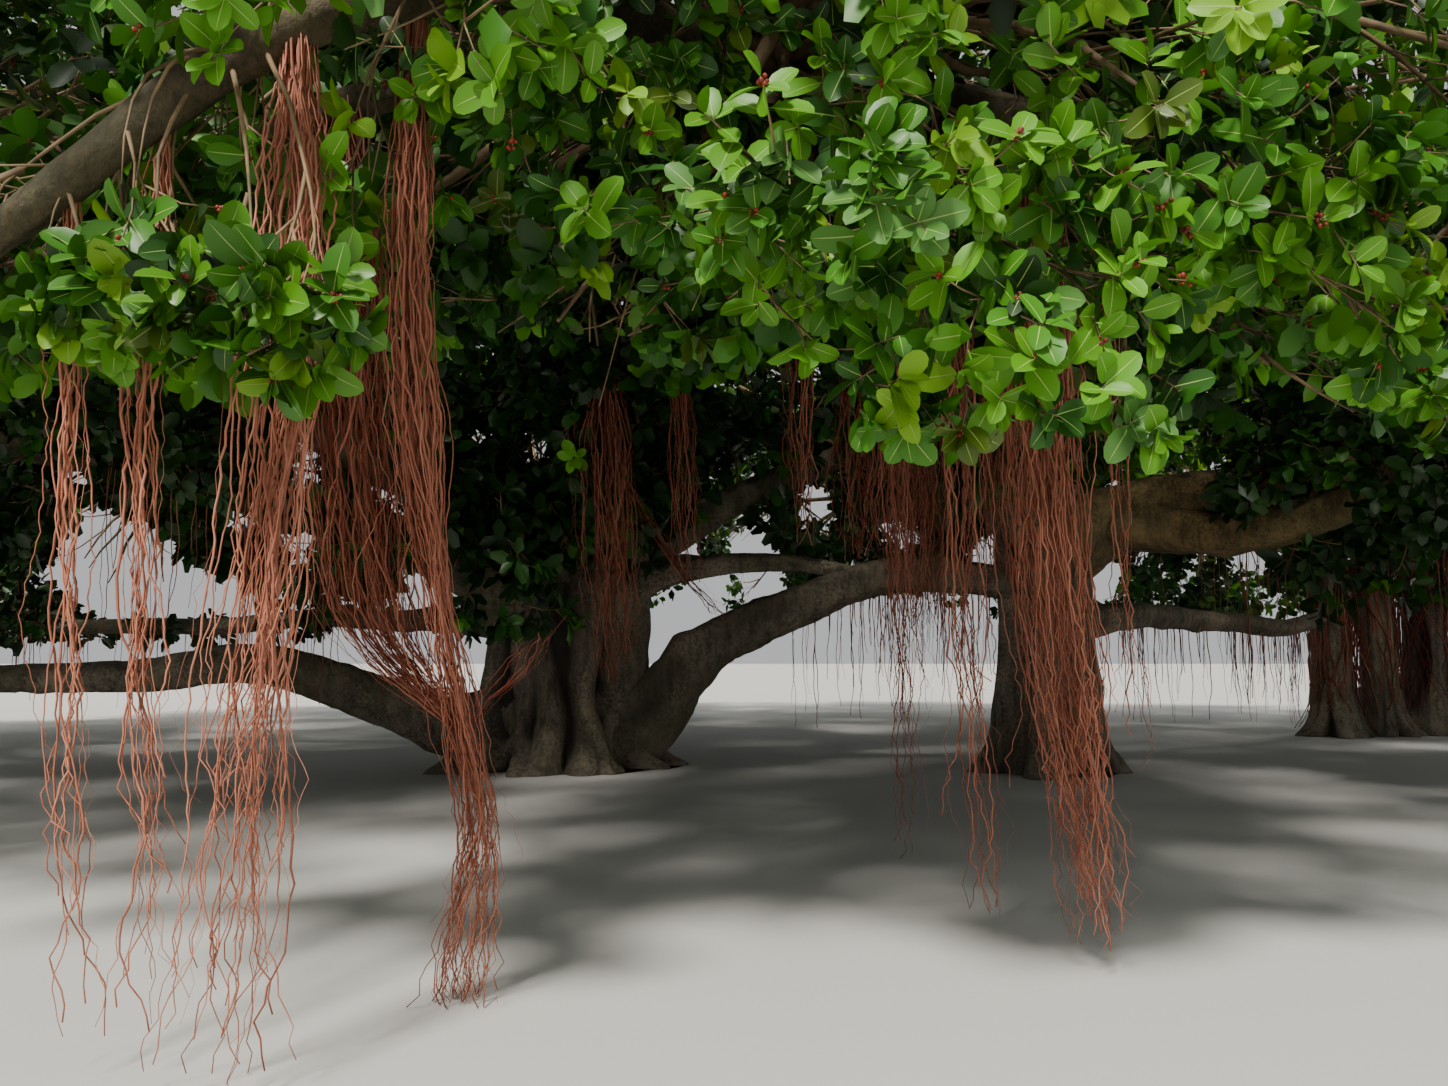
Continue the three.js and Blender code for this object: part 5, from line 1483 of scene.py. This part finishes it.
def figs_surface(grown):
    """Figs in small groups behind the leaves of some sprays"""
    rng = np.random.default_rng(grown["seed"] + FIG_SEED)
    near = closeness(grown["shoots"][:, -1]) == 2
    bearing = rng.uniform(size=len(near)) < np.where(near, NEAR_BEARING, FAR_BEARING)
    rows = np.repeat(np.flatnonzero(bearing), FIGS_OF_A_SPRAY)
    count = len(rows)
    spots, heading = read_ways(grown["shoots"], rows, rng.uniform(*FIG_PLACES, count))
    radius = sizes().fig_radius * rng.uniform(*FIG_SIZES, count) * np.where(near[rows], 1, FAR_FIG_SCALE)
    away = turned_from(heading, rng.uniform(*FIG_LEANS, count), rng.uniform(0, 2 * np.pi, count))
    spots = spots + away * (radius * rng.uniform(*FIG_DISTANCES, count))[:, None]
    parts = []
    for chosen, (points, faces) in ((near[rows], round_fig()), (~near[rows], (BALL_POINTS, BALL_FACES))):
        if chosen.any():
            made = spots[chosen][:, None] + radius[chosen][:, None, None] * points[None]
            shift = (np.arange(chosen.sum()) * len(points))[:, None, None]
            parts.append((made.reshape(-1, 3), (faces[None] + shift).reshape(-1, 3)))
    return joined(parts)


# Twigs: sides of each kind, how much thinner its end is, and girths in metres
STEM_SIDES, BRANCH_SIDES, TWIG_SIDES = 9, 5, 3
STEM_TAPER, STEM_SHARE, BRANCH_TAPER, TWIG_TAPER = 0.7, 0.95, 0.8, 0.7
BRANCH_WANDER = 0.5
NEAR_TWIG, FAR_TWIG, FAR_SPRAY_TWIG = 0.01, 0.018, 0.008
NEAR_SPRAY_TWIG = [0.006, 0.005, 0.0035]


def twigs_surface(grown):
    """Stem, branches, twigs and spray twigs of one mass or bough, each thinner than what bears it"""
    rng = np.random.default_rng(grown["seed"] + TWIG_SEED)
    parts = []
    if "stem" in grown:
        stem = grown["stem"]
        girths = np.linspace(1.0, STEM_TAPER, len(stem))[None] * grown["girth"] * STEM_SHARE
        parts.append(tubes(stem[None], girths, STEM_SIDES))
    boughs = grown["boughs"].copy()
    boughs[:, 1:-1] += grown["thick"][:, None, None] * rng.normal(0, BRANCH_WANDER, boughs[:, 1:-1].shape)
    share = np.linspace(0, 1, boughs.shape[1])
    parts.append(tubes(boughs, grown["thick"][:, None] * (1 - BRANCH_TAPER * share), BRANCH_SIDES))
    wood = grown["wood"]
    share = np.linspace(0, 1, wood.shape[1])
    girth = np.where(closeness(wood[:, -1]) == 2, NEAR_TWIG, FAR_TWIG)
    parts.append(tubes(wood, girth[:, None] * (1 - TWIG_TAPER * share), TWIG_SIDES))
    shoots = grown["shoots"]
    near = closeness(shoots[:, -1]) == 2
    parts.append(spikes(shoots[~near, 0], shoots[~near, -1], np.full((~near).sum(), FAR_SPRAY_TWIG)))
    if near.any():
        parts.append(tubes(shoots[near], np.tile(NEAR_SPRAY_TWIG, (near.sum(), 1)), TWIG_SIDES))
    return joined(parts)


def hem_branches_surface():
    """The branches that run down to the low south hem, with bark like a bough's"""
    made = [bough_surface(way, radii, HEM_SEED + index, *HEM_GRID, HEM_COLLAR)
            for index, (way, radii) in enumerate(HEM_BRANCHES)]
    points, triangles = joined([branch[:2] for branch in made])
    return points, triangles, np.concatenate([branch[2] for branch in made])


def all_grown():
    """What grows in every mass, and the leafy shoots of the boughs"""
    masses = [grown_mass(index) for index in range(len(MASSES))]
    return masses + [grown_bough(name) for name in BOUGH_SHOOTS]


# Operators, one for each kind of piece

class BANYAN_OT_trunks(Operator):
    """Makes the fluted trunks out of fused roots"""

    bl_idname = "banyan.trunks"
    bl_label = "Trunks"

    def execute(self, context):
        for index, (stem, grid) in enumerate(zip(STEMS, STEM_GRIDS)):
            points, triangles, crease = stem_surface(stem, STEM_SEED + index, *grid)
            make_piece(f"{stem['name']}_bark", points, triangles, [bark_finish("trunk_bark")],
                       [stem["name"]], values={"crease": crease})
        return {"FINISHED"}


class BANYAN_OT_boughs(Operator):
    """Makes the boughs with their collars and knots"""

    bl_idname = "banyan.boughs"
    bl_label = "Boughs"

    def execute(self, context):
        for index, (name, (way, radii)) in enumerate(BOUGHS.items()):
            grid = CROWN_BOUGH_GRID if "crown" in name else LOW_BOUGH_GRID
            points, triangles, crease = bough_surface(way, radii, BOUGH_SEED + index, *grid, BOUGH_COLLAR)
            nodes = ["bough_arch_rise", "bough_arch_span"] if name == "bough_arch" else [name]
            # The low east boughs take the bark with painted warm sunlight
            finish = bark_finish("east_bark" if name in PAINTED_SUN_BOUGHS else "bough_bark")
            make_piece(f"{name}_bark", points, triangles, [finish], nodes,
                       values={"crease": crease})
        return {"FINISHED"}


class BANYAN_OT_roots(Operator):
    """Hangs the bundles and curtains of aerial roots"""

    bl_idname = "banyan.roots"
    bl_label = "Aerial roots"

    def execute(self, context):
        for index, name in enumerate([*ROOT_BUNDLES, *ROOT_CURTAINS]):
            maker = bundle_surface if name in ROOT_BUNDLES else curtain_surface
            self.strands(name, *maker(name, ROOT_SEED + index))
        for index, stem in enumerate(STEMS[2:]):
            self.strands(stem["name"], *wrap_surface(stem, WRAP_SEED + index))
        return {"FINISHED"}

    def strands(self, name, points, triangles, tone):
        """The piece of a bundle, of a curtain or of the thin roots round a trunk"""
        make_piece(f"{name}_strands", points, triangles, [root_finish("aerial_root")],
                   [name], values={"tone": tone})


class BANYAN_OT_twigs(Operator):
    """Grows branches and twigs on from every carrier"""

    bl_idname = "banyan.twigs"
    bl_label = "Twigs"

    def execute(self, context):
        for grown in all_grown():
            points, triangles = twigs_surface(grown)
            make_piece(f"{grown['name']}_twigs", points, triangles, [twig_finish("twig_bark")],
                       [grown["name"]])
        points, triangles, crease = hem_branches_surface()
        make_piece("foliage_south_branches", points, triangles, [bark_finish("rim_bark")],
                   ["foliage_south"], values={"crease": crease})
        return {"FINISHED"}


# Kinds of leaves by closeness: the ending of the piece's name, the leaf, how many fewer a spray has than the
# setting says, and its largest scale
LEAF_KINDS = (
    ("leaves", far_leaf, 1, math.inf),
    ("middle_leaves", middle_leaf, 0, 1.3),
    ("near_leaves", near_leaf, 0, 1.0),
)


class BANYAN_OT_leaves(Operator):
    """Puts leaves round the end of every spray twig"""

    bl_idname = "banyan.leaves"
    bl_label = "Leaves"

    def execute(self, context):
        for grown in all_grown():
            rng = np.random.default_rng(grown["seed"])
            hues = dealt_colours(grown, rng)
            level = closeness(grown["shoots"][:, -1])
            for closest, kind in enumerate(LEAF_KINDS):
                chosen = np.flatnonzero(level == closest)
                if len(chosen):
                    self.leaves(grown, chosen, hues, rng, *kind)
        return {"FINISHED"}

    def leaves(self, grown, chosen, hues, rng, kind, leaf, fewer, largest):
        """The leaves of the chosen sprays; faces past a leaf's blade are its pale midrib"""
        measure = sizes()
        places = leaf_places(grown, chosen, measure.leaves_of_a_spray - fewer, rng)
        template, faces, blades = leaf()
        length = min(grown["scale"], largest) * measure.leaf_length
        points, triangles = leaves_surface(places, template, faces, length, measure.leaf_width_share)
        dealt = np.repeat(hues[chosen][places[-1]][:, None], len(faces), axis=1)
        dealt[:, blades:] = len(LEAF_COLOURS)
        make_piece(f"{grown['name']}_{kind}", points, triangles, leaf_materials(), [grown["name"]],
                   dealt=dealt.reshape(-1))


class BANYAN_OT_figs(Operator):
    """Sets figs in small groups behind the leaves"""

    bl_idname = "banyan.figs"
    bl_label = "Figs"

    def execute(self, context):
        for index in range(len(MASSES)):
            grown = grown_mass(index)
            points, triangles = figs_surface(grown)
            make_piece(f"{grown['name']}_figs", points, triangles, [fig_finish("fig_skin")],
                       [grown["name"]])
        return {"FINISHED"}


class BANYAN_OT_stage(Operator):
    """Sets the floor, the lights and the camera"""

    bl_idname = "banyan.stage"
    bl_label = "Stage"

    def execute(self, context):
        scene = context.scene
        signs = ((-1, -1), (1, -1), (1, 1), (-1, 1))
        corners = [(x * FLOOR_SIDE, y * FLOOR_SIDE, -FLOOR_DEPTH) for x, y in signs]
        mesh = bpy.data.meshes.new("floor")
        mesh.from_pydata(corners, [], [(0, 1, 2, 3)])
        pale = rgba(colours().floor)
        mesh.materials.append(Finish("floor").surface(Base_Color=pale, Roughness=FLOOR_ROUGHNESS))
        self.linked("floor", mesh)
        world = bpy.data.worlds.new("soft_sky")
        world.use_nodes = True
        world.node_tree.nodes["Background"].inputs["Color"].default_value = SKY_COLOUR
        world.node_tree.nodes["Background"].inputs["Strength"].default_value = SKY_STRENGTH
        scene.world = world
        lamp = bpy.data.lights.new("sun", "SUN")
        lamp.energy = SUN_STRENGTH
        lamp.angle = math.radians(SUN_SOFTNESS)
        lamp.color = SUN_COLOUR
        self.linked("sun", lamp).rotation_euler = (math.radians(SUN_TILT), 0, math.radians(SUN_TURN))
        data = bpy.data.cameras.new("camera")
        data.sensor_fit = "HORIZONTAL"
        data.sensor_width = SENSOR_WIDTH
        data.lens = CAMERA_LENS
        data.clip_end = FARTHEST_SEEN
        scene.camera = self.linked("camera", data)
        scene.camera.location = CAMERA_PLACE
        scene.camera.rotation_euler = (math.radians(90 + CAMERA_PITCH), 0, 0)
        return {"FINISHED"}

    def linked(self, name, data):
        """An object in the scene that shows this data"""
        made = bpy.data.objects.new(name, data)
        bpy.context.scene.collection.objects.link(made)
        return made


class BANYAN_PT_panel(Panel):
    """Lists the operators and the settings"""

    bl_idname = "BANYAN_PT_panel"
    bl_label = "Banyan tree"
    bl_space_type = "VIEW_3D"
    bl_region_type = "UI"
    bl_category = "Banyan"

    def draw(self, context):
        for operator in OPERATORS:
            self.layout.operator(operator.bl_idname)
        for settings in (context.scene.banyan_sizes, context.scene.banyan_colours):
            for name in settings.__annotations__:
                self.layout.prop(settings, name)


OPERATORS = (
    BANYAN_OT_trunks, BANYAN_OT_boughs, BANYAN_OT_roots, BANYAN_OT_twigs, BANYAN_OT_leaves, BANYAN_OT_figs,
    BANYAN_OT_stage)
CLASSES = (BanyanSizes, BanyanColours, *OPERATORS, BANYAN_PT_panel)


def register():
    for made in CLASSES:
        bpy.utils.register_class(made)
    bpy.types.Scene.banyan_sizes = PointerProperty(type=BanyanSizes)
    bpy.types.Scene.banyan_colours = PointerProperty(type=BanyanColours)


def unregister():
    del bpy.types.Scene.banyan_colours
    del bpy.types.Scene.banyan_sizes
    for made in reversed(CLASSES):
        bpy.utils.unregister_class(made)


def main():
    """Makes every piece in order"""
    register()
    bpy.ops.banyan.trunks()
    bpy.ops.banyan.boughs()
    bpy.ops.banyan.roots()
    bpy.ops.banyan.twigs()
    bpy.ops.banyan.leaves()
    bpy.ops.banyan.figs()
    bpy.ops.banyan.stage()


if __name__ == "__main__":
    main()
